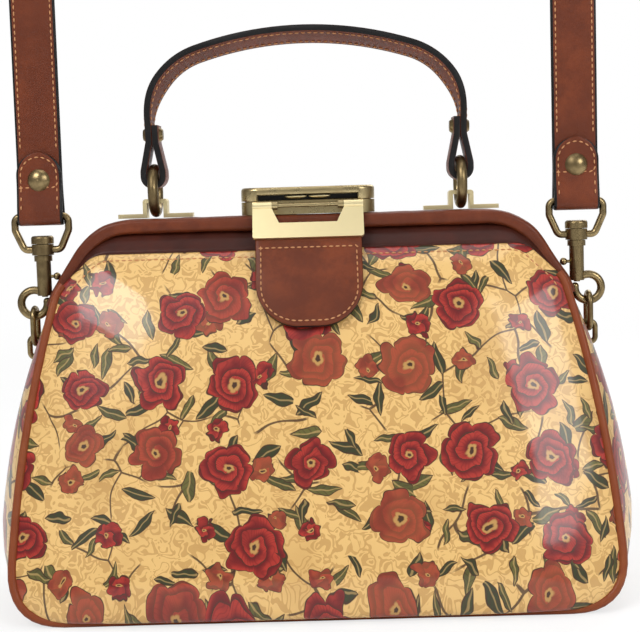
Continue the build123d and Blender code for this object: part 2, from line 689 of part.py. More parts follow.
parts = {
    "front_panel": front_panel,
    "back_panel": back_panel,
    "gusset": gusset,
    "front_piping": front_piping,
    "back_piping": back_piping,
    "base_board": base_board,
    "front_frame_bar": front_frame_bar,
    "back_frame_bar": back_frame_bar,
    "front_frame_cover": front_frame_cover,
    "back_frame_cover": back_frame_cover,
    "front_band": front_band,
    "back_band": back_band,
    "pivot_pin_left": pivot_pin_left,
    "pivot_pin_right": pivot_pin_right,
    "lock_base": lock_base,
    "lock_lid": lock_lid,
    "lock_spring_clip": lock_spring_clip,
    "hasp_plate": hasp_plate,
    "hasp_pin": hasp_pin,
    "clasp_tab": clasp_tab,
    "handle_bracket_left": handle_bracket_left,
    "handle_bracket_right": handle_bracket_right,
    "handle_ring_left": handle_ring_left,
    "handle_ring_right": handle_ring_right,
    "handle_strap": handle_strap,
    "handle_rivet_left": handle_rivet_left,
    "handle_rivet_right": handle_rivet_right,
    "shoulder_strap": shoulder_strap,
    "strap_rivet_left": strap_rivet_left,
    "strap_rivet_right": strap_rivet_right,
    "strap_loop_left": strap_loop_left,
    "strap_loop_right": strap_loop_right,
    "snap_hook_left": snap_hook_left,
    "snap_hook_right": snap_hook_right,
    "snap_bolt_left": snap_bolt_left,
    "snap_bolt_right": snap_bolt_right,
    "side_link_left": side_link_left,
    "side_link_right": side_link_right,
    "side_staple_left": side_staple_left,
    "side_staple_right": side_staple_right,
}

os.makedirs("parts", exist_ok=True)
for node, solid in parts.items():
    export_step(solid, f"parts/{node}.step")
    box = solid.bounding_box()
    print(node, len(solid.solids()), round(solid.volume, 1), tuple(box.min), tuple(box.max))
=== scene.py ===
from math import copysign, cos, pi, radians, sin, tan

import bmesh
import bpy
from bpy.props import FloatProperty, FloatVectorProperty, PointerProperty
from mathutils import Matrix, Vector, noise


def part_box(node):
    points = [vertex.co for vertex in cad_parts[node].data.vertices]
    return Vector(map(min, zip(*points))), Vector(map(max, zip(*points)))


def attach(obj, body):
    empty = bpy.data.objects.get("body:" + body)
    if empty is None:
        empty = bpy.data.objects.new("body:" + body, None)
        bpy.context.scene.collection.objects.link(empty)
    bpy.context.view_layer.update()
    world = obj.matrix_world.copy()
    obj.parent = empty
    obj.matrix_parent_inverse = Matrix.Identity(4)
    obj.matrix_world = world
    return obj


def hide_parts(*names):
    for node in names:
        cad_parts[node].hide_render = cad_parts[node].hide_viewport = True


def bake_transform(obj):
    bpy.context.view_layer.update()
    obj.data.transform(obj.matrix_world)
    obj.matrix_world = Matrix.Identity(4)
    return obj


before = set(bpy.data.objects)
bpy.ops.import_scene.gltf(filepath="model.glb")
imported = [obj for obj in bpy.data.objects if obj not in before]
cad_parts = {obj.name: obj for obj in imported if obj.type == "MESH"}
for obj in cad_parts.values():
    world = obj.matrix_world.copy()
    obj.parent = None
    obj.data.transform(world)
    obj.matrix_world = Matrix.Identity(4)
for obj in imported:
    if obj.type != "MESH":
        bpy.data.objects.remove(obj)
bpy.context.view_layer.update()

bl_info = {
    "name": "Satchel",
    "version": (1, 0, 0),
    "blender": (4, 5, 0),
    "location": "View3D > Sidebar > Satchel",
    "description": "Builds the looks of a frame-closure satchel over its CAD frame",
    "category": "Object",
}

# Body: lean of the panels, their rings and waves, and the sag of the lower edge
PANEL_TILT = radians(16)
PANEL_RINGS, RING_SPREAD = 26, 1.5
CROWN_POWER, CROWN_POWER_LOW = 4.6, 7
PANEL_WAVES = ((16, 3.7, 0.0012), (45, 8.1, 0.0003))  # waves per metre, seed, height
SAG, SAG_FROM = 0.0060, 0.84
EDGE_COUNTS = (44, 28, 6, 40, 6, 28)
CORNER_COUNT = 9

# Side strip and bands: the outline halfway between a seam and the middle plane
HALFWAY_SHARE, HALFWAY_UP = 0.78, 0.00055
STRIP_HALF_ROWS = 14
BAND_ROWS, BAND_REACH = 10, 0.76
BACK_PRINT_SHIFT, STRIP_PRINT_SHIFT = 0.7, (1.3, 0.4)
PIPING_OVERRUN, PIPING_WAVES, PIPING_UNEVEN = 3, 90, 0.05

# Rolled covers of the frame
COVER_OVERHANG, COVER_STEPS, COVER_RING, COVER_SQUARE = 0.004, 12, 24, 0.6
COVER_TOP_REACH, COVER_TOP_STEPS, COVER_TOP_CLEAR = 0.09, 60, 0.002
COVER_END_SHARE, COVER_END_STEPS = 0.75, 3
COVER_WAVES, COVER_SINK = ((70, 0.00035), (240, 0.00015)), 0.0003  # waves per metre, height

# Lock and tab; the SLOT values bound the lid's slot, whose inside gets painted shade
SLOT_UP, SLOT_HALF, SLOT_FROM, SLOT_TO, SLOT_CLEAR = 0.0036, 0.0292, 0.0003, 0.0062, 0.0002
LOBE_RING, LOBE_STEPS, LOBE_THIN, LOBE_SHARE = 16, 12, 0.08, 0.47
TAB_STRETCH = 0.13
TAB_INSET, TAB_TURN, TAB_TURN_STEPS, TAB_FIRST = 0.0030, 0.0205, 12, 0.0085

# Softened copies of CAD meshes: what counts as one point, one face or the flat of a strap
MERGE_DISTANCE, MERGE_ANGLE, FACE_COSINE = 1e-6, radians(0.5), 0.7
LID_BEVEL, TAB_BEVEL, HANDLE_BEVEL = 0.0003, 0.0007, 0.0011
BEVEL_STEPS, BEVEL_FROM = 3, radians(40)

# Handle
HANDLE_Y, HANDLE_RISE_X, HANDLE_CORNER_UP = 0.007, 0.09095, 0.2722
HANDLE_CORNER_ROUND, HANDLE_TOP_ROUND, HANDLE_TOP_UP = 0.042, 0.200, 0.322
HANDLE_TILT, HANDLE_TILT_FROM, HANDLE_TILT_TO = radians(19), 0.268, 0.298
HANDLE_CORNER_STEPS, HANDLE_TOP_STEPS = 12, 16
HANDLE_STITCH_LIFT, HANDLE_STITCH_ACROSS = 0.0019, 0.0056

# Shoulder strap: its turn from facing forwards to lying flat, the fold and the stitches
STRAP_TURN_FROM, STRAP_TURN_TO = 0.356, 0.420
FOLD_TIP, FOLD_TIP_STEPS, FOLD_TIP_THIN, FOLD_TIP_CLEAR = 0.258, 14, 0.02, 1.05
FOLD_BEND, FOLD_NECK, FOLD_MID, FOLD_LOW, FOLD_HALF = 0.247, 0.23735, 0.2233, 0.2174, 0.00395
FOLD_END = 0.240
STRAP_STITCH_INSET, STRAP_STITCH_LOW, STRAP_STITCH_STEPS = 0.0026, 0.238, 16
TAIL_HIGH, TAIL_LOW, TAIL_OUT = 0.2365, 0.2265, 0.0036
EDGE_STITCH_LOW, EDGE_STITCH_HIGH = 0.262, 0.352
STITCH_SHARE, STITCH_LIFT, PANEL_STITCH_SHARE = 0.72, 0.0001, 0.968

# Camera, with the focal length in pixels of the photograph's width
FOCAL_PIXELS, WIDTH_PIXELS, SENSOR = 1376, 640, 36.0
CAMERA_PLACE = (0.012, -0.800, 0.230)
CAMERA_YAW, CAMERA_PITCH, CAMERA_ROLL = radians(-0.50), radians(-5.1), radians(-1.7)
LIGHT_TARGET = (0, 0, 0.15)

UP = Vector((0, 0, 1))
ACROSS = Vector((1, 0, 0))

PRINT_COLOURS = {
    "Ground": "ground",
    "Tonal": "tonal",
    "Red": "red",
    "Rust": "rust",
    "Brown": "brown",
    "Leaf": "leaf",
    "Dark leaf": "dark_leaf",
    "Stem": "stem",
}


def length(name, words, value):
    return FloatProperty(name=name, description=words, default=value, unit="LENGTH")


def colour(name, words, value):
    return FloatVectorProperty(
        name=name, description=words, default=value, subtype="COLOR", size=3, min=0, max=1
    )


class SatchelSizes(bpy.types.PropertyGroup):
    """Sizes of the soft pieces. The body stands a little fuller than its solids."""

    panel_base: length("Panel base", "Width of a panel at its base", 0.334)
    panel_corner: length("Panel corner", "Radius of the base corners", 0.026)
    panel_shoulder: length("Panel shoulder", "Width at the shoulders", 0.286)
    panel_shoulder_up: length("Shoulder height", "Height of the shoulders", 0.184)
    panel_top: length("Panel top", "Width of the top edge", 0.246)
    panel_height: length("Panel height", "Height along the panel", 0.204)
    panel_round: length("Shoulder radius", "Radius of the upper corners", 0.016)
    panel_bow: length("Panel bow", "Bow of the sides", 0.006)
    panel_bulge: length("Bulge", "Crown of the panel", 0.015)
    bulge_up: length("Bulge height", "Height of the crown's centre", 0.074)
    middle_base: length("Middle base", "Width of the side strip's middle line", 0.368)
    middle_corner: length("Middle corner", "Corner radius of the middle line", 0.045)
    middle_shoulder: length("Middle shoulder", "Middle width at the shoulders", 0.304)
    middle_shoulder_up: length("Middle shoulder height", "Height there", 0.165)
    middle_round: length("Middle shoulder radius", "Radius there", 0.030)
    middle_bow: length("Middle bow", "Bow of the middle line", 0.010)
    frame_top: length("Frame top", "Width of the frame's straight top", 0.242)
    frame_up: length("Frame height", "Height of the frame's path", 0.214)
    frame_round: length("Frame corner", "Corner radius of the frame", 0.037)
    frame_end: length("Frame end", "Width at the frame's ends", 0.296)
    frame_end_up: length("Frame end height", "Height of the frame's ends", 0.172)
    cover_y: length("Cover place", "Distance of a cover from the middle plane", 0.007)
    cover_depth: length("Cover depth", "Depth of the rolled cover", 0.012)
    cover_height: length("Cover height", "Height of the rolled cover", 0.009)
    seam_y: length("Seam place", "Half depth of the base between the seams", 0.074)
    seam_up: length("Seam lift", "Height of the seam at the base", 0.0025)
    wall: length("Wall", "Thickness of the coated leather", 0.0024)
    piping: length("Piping", "Diameter of the piping", 0.005)
    strap_width: length("Strap width", "Width of the shoulder strap", 0.026)
    strap_thick: length("Strap thickness", "Thickness of the shoulder strap", 0.0028)
    strap_x: length("Strap place", "Half the strap spacing", 0.155)
    strap_y: length("Strap lap", "Offset of the strap's two layers", 0.00155)
    stitch_pitch: length("Stitch pitch", "Distance from stitch to stitch", 0.0036)
    stitch_width: length("Stitch width", "Thickness of the thread", 0.0009)


class SatchelColours(bpy.types.PropertyGroup):
    """Colours of the satchel's materials."""

    ground: colour("Ground", "Ground of the print", (0.69, 0.445, 0.165))
    tonal: colour("Tonal", "Tonal scrolls on the ground", (0.44, 0.245, 0.075))
    red: colour("Red", "Rose petals", (0.120, 0.005, 0.006))
    rust: colour("Rust", "Blossoms and petal lights", (0.36, 0.028, 0.018))
    brown: colour("Brown", "Faded blossoms", (0.30, 0.085, 0.030))
    leaf: colour("Leaf", "Leaves in the light", (0.110, 0.100, 0.024))
    dark_leaf: colour("Dark leaf", "Leaves in the shade", (0.032, 0.036, 0.012))
    stem: colour("Stem", "Stems and outlines", (0.050, 0.020, 0.009))
    saddle: colour("Saddle", "Brown leather trim", (0.195, 0.040, 0.010))
    saddle_dark: colour("Saddle dark", "Worn and shaded trim", (0.105, 0.020, 0.005))
    piping: colour("Piping", "Leather over the cords in the seams", (0.245, 0.068, 0.018))
    # The band is dark brown leather, darkened further with painted shade of the recess under the
    # rolled cover
    band: colour("Band", "Plain leather below the frame", (0.070, 0.012, 0.005))
    # Painted leather edges, and also the painted shade inside the lock lid's slot
    edge: colour("Edge", "Painted leather edges", (0.008, 0.007, 0.007))
    thread: colour("Thread", "Stitching", (0.56, 0.26, 0.11))
    lining: colour("Lining", "Inside of the bag", (0.30, 0.20, 0.11))
    brass: colour("Brass", "Antique brass", (0.29, 0.215, 0.105))
    brass_dark: colour("Brass dark", "Patina of the brass", (0.055, 0.036, 0.018))
    lock_brass: colour("Lock brass", "Box of the lock", (0.45, 0.36, 0.19))
    pale_brass: colour("Pale brass", "Hasp and bracket brass", (0.86, 0.73, 0.42))
    floor: colour("Floor", "Floor and backdrop", (0.90, 0.90, 0.90))


class Wire:
    """Output of a node. Sums and products of wires add the math nodes for them."""

    def __init__(self, tree, socket):
        self.tree, self.socket = tree, socket

    def __add__(self, other):
        return self.tree.math("ADD", self, other)

    __radd__ = __add__

    def __sub__(self, other):
        return self.tree.math("SUBTRACT", self, other)

    def __rsub__(self, other):
        return self.tree.math("SUBTRACT", other, self)

    def __mul__(self, other):
        return self.tree.math("MULTIPLY", self, other)

    __rmul__ = __mul__

    def __truediv__(self, other):
        return self.tree.math("DIVIDE", self, other)

    def __abs__(self):
        return self.tree.math("ABSOLUTE", self)


class Tree:
    """Short way to add nodes to a tree and join them."""

    def __init__(self, tree):
        self.tree = tree

    def put(self, socket, value):
        if isinstance(value, Wire):
            value = value.socket
        if isinstance(value, bpy.types.NodeSocket):
            self.tree.links.new(value, socket)
        elif isinstance(value, (int, float, bpy.types.ID)):
            socket.default_value = value
        else:
            value = tuple(value)
            opaque = len(value) == 3 and len(socket.default_value) == 4
            socket.default_value = value + (1.0,) if opaque else value

    def node(self, kind, inputs=None, **settings):
        node = self.tree.nodes.new(kind)
        for key, value in settings.items():
            setattr(node, key, value)
        for key, value in (inputs or {}).items():
            self.put(node.inputs[key], value)
        return node

    def wire(self, kind, output, inputs=None, **settings):
        """One output of a new node."""
        return Wire(self, self.node(kind, inputs, **settings).outputs[output])

    def math(self, operation, *values):
        return self.wire("ShaderNodeMath", 0, dict(enumerate(values)), operation=operation)

    def vector(self, operation, *values):
        return self.wire("ShaderNodeVectorMath", 0, dict(enumerate(values)), operation=operation)

    def mix(self, share, a, b):
        return self.wire("ShaderNodeMix", 2, {0: share, 6: a, 7: b}, data_type="RGBA")

    def over(self, value, low, high):
        """0 at low and 1 at high, smooth between them."""
        ends = {0: value, 1: low, 2: high}
        return self.wire("ShaderNodeMapRange", 0, ends, interpolation_type="SMOOTHSTEP")

    def cloud(self, place, scale, detail, output=0, size="3D", **more):
        """Soft noise over a place."""
        inputs = {"Vector": place, "Scale": scale, "Detail": detail, **more}
        return self.wire("ShaderNodeTexNoise", output, inputs, noise_dimensions=size)

    def place(self):
        """Object coordinates."""
        return self.wire("ShaderNodeTexCoord", "Object")


def new_group(name, kind, inputs, outputs):
    """Node group, its tree, its inputs as wires by name, and its outputs."""
    group = bpy.data.node_groups.new(name, kind)
    for way, sockets in (("INPUT", inputs), ("OUTPUT", outputs)):
        for title, socket in sockets.items():
            group.interface.new_socket(title, in_out=way, socket_type="NodeSocket" + socket)
    tree = Tree(group)
    given = {s.name: Wire(tree, s) for s in group.nodes.new("NodeGroupInput").outputs}
    return group, tree, given, group.nodes.new("NodeGroupOutput").inputs


def floral_group():
    """All-over floral print on flat coordinates in metres."""
    inputs = {"Vector": "Vector"} | {name: "Color" for name in PRINT_COLOURS}
    group, t, given, out = new_group("Floral print", "ShaderNodeTree", inputs, {"Color": "Color"})
    flat, stem, tonal = given["Vector"], given["Stem"], given["Tonal"]
    petals, soft_rim = 5.0, 0.0003

    def patch(scale, detail, **more):
        return t.cloud(flat, scale, detail, size="2D", **more)

    def wander(scale, detail, reach):
        """Uneven move within the plane of the print."""
        way = t.vector("SUBTRACT", patch(scale, detail, output="Color"), (0.5, 0.5, 0.5))
        return t.vector("MULTIPLY", way, (reach, reach, 0.0))

    def cells(scale, shift, spread, sway, waver):
        """Place along and across a turned cell, and two chances of that cell."""
        moved = t.vector("ADD", flat, shift)
        moved = t.vector("ADD", moved, wander(scale * waver, 1.0, sway))
        inputs = {"Vector": moved, "Scale": scale, "Randomness": spread}
        cell = t.node("ShaderNodeTexVoronoi", inputs, voronoi_dimensions="2D").outputs
        chance = t.node("ShaderNodeSeparateColor", {0: cell["Color"]}).outputs
        away = t.vector("SUBTRACT", moved, cell["Position"])
        local = t.node("ShaderNodeSeparateXYZ", {0: away}).outputs
        x, y = Wire(t, local[0]), Wire(t, local[1])
        turn = Wire(t, chance[0]) * (2 * pi)
        c, s = t.math("COSINE", turn), t.math("SINE", turn)
        return x * c + y * s, y * c - x * s, Wire(t, chance[1]), Wire(t, chance[2])

    def leaves(under, scale, shift, half, wide, bare):
        """Pointed leaves with ribs, a vein and an outline, left out of a share of cells."""
        along, across, pick, tone = cells(scale, shift, spread=0.85, sway=0.006, waver=1.7)
        run = along / half
        rim = (1.0 - run * run) * wide - abs(across)
        there = t.over(rim, 0.0, soft_rim) * t.math("GREATER_THAN", pick, bare)
        green = t.mix(t.over(tone, 0.3, 0.75), given["Dark leaf"], given["Leaf"])
        shaded = t.mix(t.over(across, -0.0004, 0.0004), green, given["Dark leaf"])
        green = t.mix(0.45, green, shaded)
        ribs = t.math("SINE", (along - abs(across)) * 1900.0)
        green = t.mix(t.over(ribs, 0.5, 1.0) * 0.45, green, stem)
        vein = t.over(abs(across), 0.00055, 0.0002)
        green = t.mix(vein * 0.35, green, given["Ground"])
        green = t.mix(t.over(rim, 0.0009, 0.0004), green, stem)
        return t.mix(there, under, green)

    def flowers(under, scale, shift, size, bare, whorls):
        """Scalloped flowers with whorls of petals, left out of a share of cells."""
        along, across, pick, tone = cells(scale, shift, spread=0.50, sway=0.0065, waver=3.6)
        far = t.math("SQRT", along * along + across * across)
        angle = t.math("ARCTAN2", across, along)
        scallop = abs(t.math("COSINE", angle * (petals / 2)))
        ragged = patch(1.1 / size, 0.8)
        grow = 0.52 + ragged * 0.5 + tone * 0.35
        reach = (0.76 + t.math("SQRT", scallop) * 0.24) * (grow * size)
        rim = reach - far
        there = t.over(rim, 0.0, soft_rim) * t.math("GREATER_THAN", pick, bare)
        share = far / reach
        spiral = share * whorls + angle * (1 / pi)
        fold = t.math("FRACT", spiral + scallop * 0.35)
        petal = t.mix(t.over(fold, 0.10, 0.85), given["Red"], given["Rust"])
        petal = t.mix(t.over(fold, 0.16, 0.04), petal, stem)
        rays = t.math("SINE", (angle + ragged * 2.0) * (petals * 5.0))
        petal = t.mix(t.over(rays, 0.2, 1.0) * 0.38, petal, given["Red"])
        petal = t.mix(t.over(pick, 0.62, 0.68) * 0.55, petal, given["Brown"])
        petal = t.mix(t.over(ragged, 0.5, 0.72) * 0.45, petal, given["Red"])
        heart = t.mix(t.over(share, 0.07, 0.12), stem, tonal)
        petal = t.mix(t.over(share, 0.24, 0.16), petal, heart)
        petal = t.mix(t.over(rim, 0.0008, 0.0004), petal, stem)
        return t.mix(there, under, petal)

    scrolls = t.math("SINE", patch(150.0, 1.0, Distortion=0.9) * 19.0)
    ground = t.mix(t.over(scrolls, 0.10, 0.35) * 0.68, given["Ground"], tonal)
    ground = t.mix(t.over(patch(14.0, 3.0), 0.5, 0.75) * 0.4, ground, tonal)
    inputs = {"Vector": t.vector("ADD", flat, wander(17.0, 1.5, 0.035)), "Scale": 27.0}
    settings = {"voronoi_dimensions": "2D", "feature": "DISTANCE_TO_EDGE"}
    web = t.wire("ShaderNodeTexVoronoi", "Distance", inputs, **settings)
    stalk = t.over(web, 0.022, 0.011) * t.over(patch(30.0, 0.0), 0.46, 0.52)
    done = t.mix(stalk * 0.9, ground, stem)
    done = leaves(done, 44.0, (0.40, 0.10, 0.0), half=0.0098, wide=0.0034, bare=0.20)
    done = leaves(done, 58.0, (0.13, 0.71, 0.0), half=0.0078, wide=0.0026, bare=0.35)
    done = flowers(done, 36.0, (0.20, 0.35, 0.0), size=0.0072, bare=0.45, whorls=1.0)
    done = flowers(done, 23.5, (0.05, 0.52, 0.0), size=0.0160, bare=0.12, whorls=3.2)
    t.put(out["Color"], done)
    return group


def leather_group():
    """Grain, creases and wear of smooth leather."""
    inputs = {"Vector": "Vector", "Light": "Color", "Dark": "Color", "Grain": "Float"}
    outputs = {"Color": "Color", "Height": "Float", "Roughness": "Float"}
    group, t, given, out = new_group("Leather", "ShaderNodeTree", inputs, outputs)
    place, grain = given["Vector"], {"Vector": given["Vector"], "Scale": given["Grain"]}
    pores = t.wire("ShaderNodeTexVoronoi", "Distance", grain, feature="DISTANCE_TO_EDGE")
    cloud = t.cloud(place, 60.0, 6.0, Roughness=0.65)
    worn = t.over(cloud, 0.36, 0.68) * t.over(t.cloud(place, 18.0, 2.0), 0.25, 0.7)
    base = t.mix(worn, given["Dark"], given["Light"])
    crease = t.over(pores, 0.0, 0.12)
    t.put(out["Color"], t.mix((1.0 - crease) * 0.35, base, given["Dark"]))
    t.put(out["Height"], crease * 0.5 + cloud * 0.6)
    t.put(out["Roughness"], 0.34 + cloud * 0.22)
    return group


def patina_group():
    """Dark patina in patches over clean metal."""
    inputs = {"Vector": "Vector", "Clean": "Color", "Dark": "Color"}
    inputs |= {"Amount": "Float", "Polish": "Float"}
    outputs = {"Color": "Color", "Roughness": "Float", "Height": "Float"}
    group, t, given, out = new_group("Patina", "ShaderNodeTree", inputs, outputs)
    patches = t.cloud(given["Vector"], 90.0, 5.0, Roughness=0.55)
    fine = t.cloud(given["Vector"], 900.0, 3.0)
    dark = t.over(patches, 0.42, 0.66) * given["Amount"]
    speckle = fine * given["Amount"] * 0.2
    t.put(out["Color"], t.mix(dark, given["Clean"], given["Dark"]))
    t.put(out["Roughness"], given["Polish"] + (dark * 0.3 + speckle))
    t.put(out["Height"], fine)
    return group


def shared(name, make):
    return bpy.data.node_groups.get(name) or make()


def new_material(name):
    material = bpy.data.materials.new(name)
    material.use_nodes = True
    material.node_tree.nodes.clear()
    t = Tree(material.node_tree)
    shader = t.node("ShaderNodeBsdfPrincipled")
    t.node("ShaderNodeOutputMaterial", {"Surface": shader.outputs[0]})
    return material, t, shader


def fill(t, shader, values, height, strength, distance):
    """Set the shader's values, and its normal from a height."""
    for name, value in values.items():
        t.put(shader.inputs[name], value)
    inputs = {"Strength": strength, "Distance": distance, "Height": height}
    t.put(shader.inputs["Normal"], t.wire("ShaderNodeBump", 0, inputs))


def printed(name, c):
    """Printed glossy coated leather, on the flat coordinates of its UV map."""
    material, t, shader = new_material(name)
    inputs = {socket: getattr(c, key) for socket, key in PRINT_COLOURS.items()}
    inputs["Vector"] = t.wire("ShaderNodeUVMap", 0, uv_map="flat")
    print_tree = shared("Floral print", floral_group)
    place = t.place()
    grain = t.wire("ShaderNodeTexVoronoi", "Distance", {"Vector": place, "Scale": 800.0})
    values = {
        "Base Color": t.wire("ShaderNodeGroup", 0, inputs, node_tree=print_tree),
        "Roughness": 0.36,
        "Specular IOR Level": 0.30,
        "Coat Weight": 0.46,
        "Coat Roughness": 0.10,
    }
    height = grain * 0.25 + t.cloud(place, 55.0, 4.0)
    fill(t, shader, values, height, strength=0.16, distance=0.0012)
    return material


def leather(name, light, dark, grain=1400.0, strength=0.35):
    """Plain leather in object coordinates."""
    material, t, shader = new_material(name)
    inputs = {"Vector": t.place(), "Light": light, "Dark": dark, "Grain": grain}
    hide = t.node("ShaderNodeGroup", inputs, node_tree=shared("Leather", leather_group)).outputs
    values = {
        "Base Color": hide["Color"],
        "Roughness": hide["Roughness"],
        "Specular IOR Level": 0.22,
        "Coat Weight": 0.10,
        "Coat Roughness": 0.22,
    }
    fill(t, shader, values, hide["Height"], strength, distance=0.0006)
    return material


def metal(name, clean, dark, amount, polish):
    """Brass with patina in object coordinates."""
    material, t, shader = new_material(name)
    inputs = {"Vector": t.place(), "Clean": clean, "Dark": dark}
    inputs |= {"Amount": amount, "Polish": polish}
    skin = t.node("ShaderNodeGroup", inputs, node_tree=shared("Patina", patina_group)).outputs
    values = {"Base Color": skin["Color"], "Roughness": skin["Roughness"], "Metallic": 1.0}
    fill(t, shader, values, skin["Height"], strength=0.13 * amount, distance=0.0003)
    return material


def cloth(name, base, scale):
    """Plain woven lining or thread."""
    material, t, shader = new_material(name)
    weave = t.cloud(t.place(), scale, 4.0)
    shade = t.mix(weave * 0.5, base, [0.45 * v for v in base])
    values = {"Base Color": shade, "Roughness": 0.85}
    fill(t, shader, values, weave, strength=0.3, distance=0.0004)
    return material


def materials(context):
    """Every material by a short name, made on first use."""
    c = context.scene.satchel_colours
    dark_band, dark_edge = [0.5 * v for v in c.band], [0.5 * v for v in c.edge]
    kinds = {
        "print": ("Printed leather", printed, c),
        "saddle": ("Saddle leather", leather, c.saddle, c.saddle_dark),
        "piping": ("Piping leather", leather, c.piping, c.saddle),
        "band": ("Band leather", leather, c.band, dark_band),
        "edge": ("Edge paint", leather, c.edge, dark_edge, 2500.0, 0.1),
        "thread": ("Thread", cloth, c.thread, 2500.0),
        "lining": ("Lining", cloth, c.lining, 1500.0),
        "brass": ("Antique brass", metal, c.brass, c.brass_dark, 0.6, 0.22),
        "lock": ("Lock brass", metal, c.lock_brass, c.brass, 0.5, 0.22),
        "pale": ("Pale brass", metal, c.pale_brass, c.lock_brass, 0.06, 0.36),
    }
    return {
        key: bpy.data.materials.get(name) or make(name, *values)
        for key, (name, make, *values) in kinds.items()
    }


def add_object(name, data):
    obj = bpy.data.objects.new(name, data)
    bpy.context.scene.collection.objects.link(obj)
    return obj


def new_mesh(name, points, faces, mats):
    mesh = bpy.data.meshes.new(name)
    mesh.from_pydata([tuple(p) for p in points], [], faces)
    for material in mats:
        mesh.materials.append(material)
    mesh.shade_smooth()
    mesh.update()
    return add_object(name, mesh)


def new_curve(name, kind, places):
    """Curve with one spline, and that spline."""
    curve = bpy.data.curves.new(name, "CURVE")
    curve.dimensions = "3D"
    spline = curve.splines.new(kind)
    spline.points.add(len(places) - 1)
    for point, place in zip(spline.points, places):
        point.co = (*place, 1)
    return curve, spline


def final_mesh(obj):
    """Mesh of an object as its modifiers or curve settings make it."""
    graph = bpy.context.evaluated_depsgraph_get()
    return bpy.data.meshes.new_from_object(obj.evaluated_get(graph))


def plain(obj):
    """Turn the modifiers of an object into its plain mesh."""
    mesh = final_mesh(obj)
    obj.modifiers.clear()
    obj.data = mesh
    return obj


def curve_mesh(curve):
    """Plain mesh of a curve."""
    obj = add_object(curve.name, curve)
    mesh = final_mesh(obj)
    bpy.data.objects.remove(obj)
    return mesh


def flat_map(obj, flat):
    layer = obj.data.uv_layers.new(name="flat")
    for loop in obj.data.loops:
        layer.data[loop.index].uv = flat[loop.vertex_index]


def shell(obj, thickness):
    """Give an open surface its wall, inwards."""
    modifier = obj.modifiers.new("wall", "SOLIDIFY")
    modifier.thickness = thickness
    modifier.offset = -1.0
    modifier.use_even_offset = False
    modifier.material_offset = 1
    return plain(obj)


def quads(rows, count, start=0, closed=False):
    """Faces of a grid of points that are listed row by row."""
    faces = []
    for row in range(rows - 1):
        a, b = start + row * count, start + (row + 1) * count
        for k in range(count if closed else count - 1):
            after = (k + 1) % count
            faces.append((a + k, a + after, b + after, b + k))
    return faces


def tube(rows, ring, start=0):
    """Faces of a tube of rings, with its two ends closed."""
    last = start + (rows - 1) * ring
    ends = [tuple(range(start, start + ring))[::-1], tuple(range(last, last + ring))]
    return quads(rows, ring, start, closed=True) + ends


def mirrored(points):
    """Points at the back of the bag."""
    return [Vector((p.x, -p.y, p.z)) for p in points]


def turned(faces):
    return [face[::-1] for face in faces]


def rounded(a, corner, b, at):
    """Point of the curve from a to b that rounds a corner off."""
    return a * (1 - at) ** 2 + corner * (2 * at * (1 - at)) + b * at**2


def ease(value, low, high):
    """0 below low, 1 above high, and smooth between them."""
    at = min(1, max(0, (value - low) / (high - low)))
    return at * at * (3 - 2 * at)


def run_lengths(points):
    """Length of the run up to each point."""
    lengths = [0.0]
    for a, b in zip(points, points[1:]):
        lengths.append(lengths[-1] + (b - a).length)
    return lengths


def direction(path, k):
    """Direction of a path at point k."""
    return (path[min(k + 1, len(path) - 1)] - path[max(k - 1, 0)]).normalized()


def bag_outline(s, share):
    """Outline of the bag, share of the way from a seam to the middle plane."""

    def between(seam, middle):
        return seam + share * (middle - seam)

    base = between(s.panel_base, s.middle_base) / 2
    shoulder = between(s.panel_shoulder, s.middle_shoulder) / 2
    top = between(s.panel_top, s.frame_top) / 2
    shoulder_up = between(s.panel_shoulder_up, s.middle_shoulder_up)
    top_up = between(s.panel_height, s.frame_up)
    bow = between(s.panel_bow, s.middle_bow)
    low_round = between(s.panel_corner, s.middle_corner)
    high_round = between(s.panel_round, s.middle_round)
    top_round = between(s.panel_round, s.frame_round)
    right = [Vector((base, 0)), Vector((shoulder, shoulder_up)), Vector((top, top_up))]
    left = [Vector((-top, top_up)), Vector((-shoulder, shoulder_up))]
    corners = [Vector((-base, 0))] + right + left
    rounds = (low_round, low_round, high_round, top_round, top_round, high_round)
    bows = (0, bow, 0, 0, 0, bow)
    count = len(corners)

    def on_edge(k, at):
        a, b = corners[k], corners[(k + 1) % count]
        out = Vector((b.y - a.y, a.x - b.x)).normalized()
        return a.lerp(b, at) + out * (4 * bows[k] * at * (1 - at))

    runs = [corners[(k + 1) % count] - corners[k] for k in range(count)]
    trims = [rounds[k] * tan(runs[k - 1].angle(runs[k]) / 2) for k in range(count)]
    points = []
    for k in range(count):
        length_in, length_out = runs[k - 1].length, runs[k].length
        start = trims[k] / length_out
        stop = 1 - trims[(k + 1) % count] / length_out
        a = on_edge((k - 1) % count, 1 - trims[k] / length_in)
        b = on_edge(k, start)
        for step in range(CORNER_COUNT):
            points.append(rounded(a, corners[k], b, step / CORNER_COUNT))
        for step in range(EDGE_COUNTS[k]):
            points.append(on_edge(k, start + (stop - start) * step / EDGE_COUNTS[k]))
    return points


def corner_index(k):
    """Index of the middle of corner k in an outline."""
    return sum(EDGE_COUNTS[:k]) + k * CORNER_COUNT + CORNER_COUNT // 2


def low_range():
    """Outline indices down the left side, along the base and up the right side."""
    total = sum(EDGE_COUNTS) + len(EDGE_COUNTS) * CORNER_COUNT
    start = corner_index(5)
    return [(start + k) % total for k in range((corner_index(2) - start) % total + 1)]


def top_range():
    """Outline indices over the shoulders and the top."""
    return list(range(corner_index(2), corner_index(5) + 1))


def lean(s, u, v, lift):
    """Point of the front seam plane, lifted off it."""
    c, n = cos(PANEL_TILT), sin(PANEL_TILT)
    return Vector((u, -s.seam_y + n * v - c * lift, s.seam_up + c * v + n * lift))


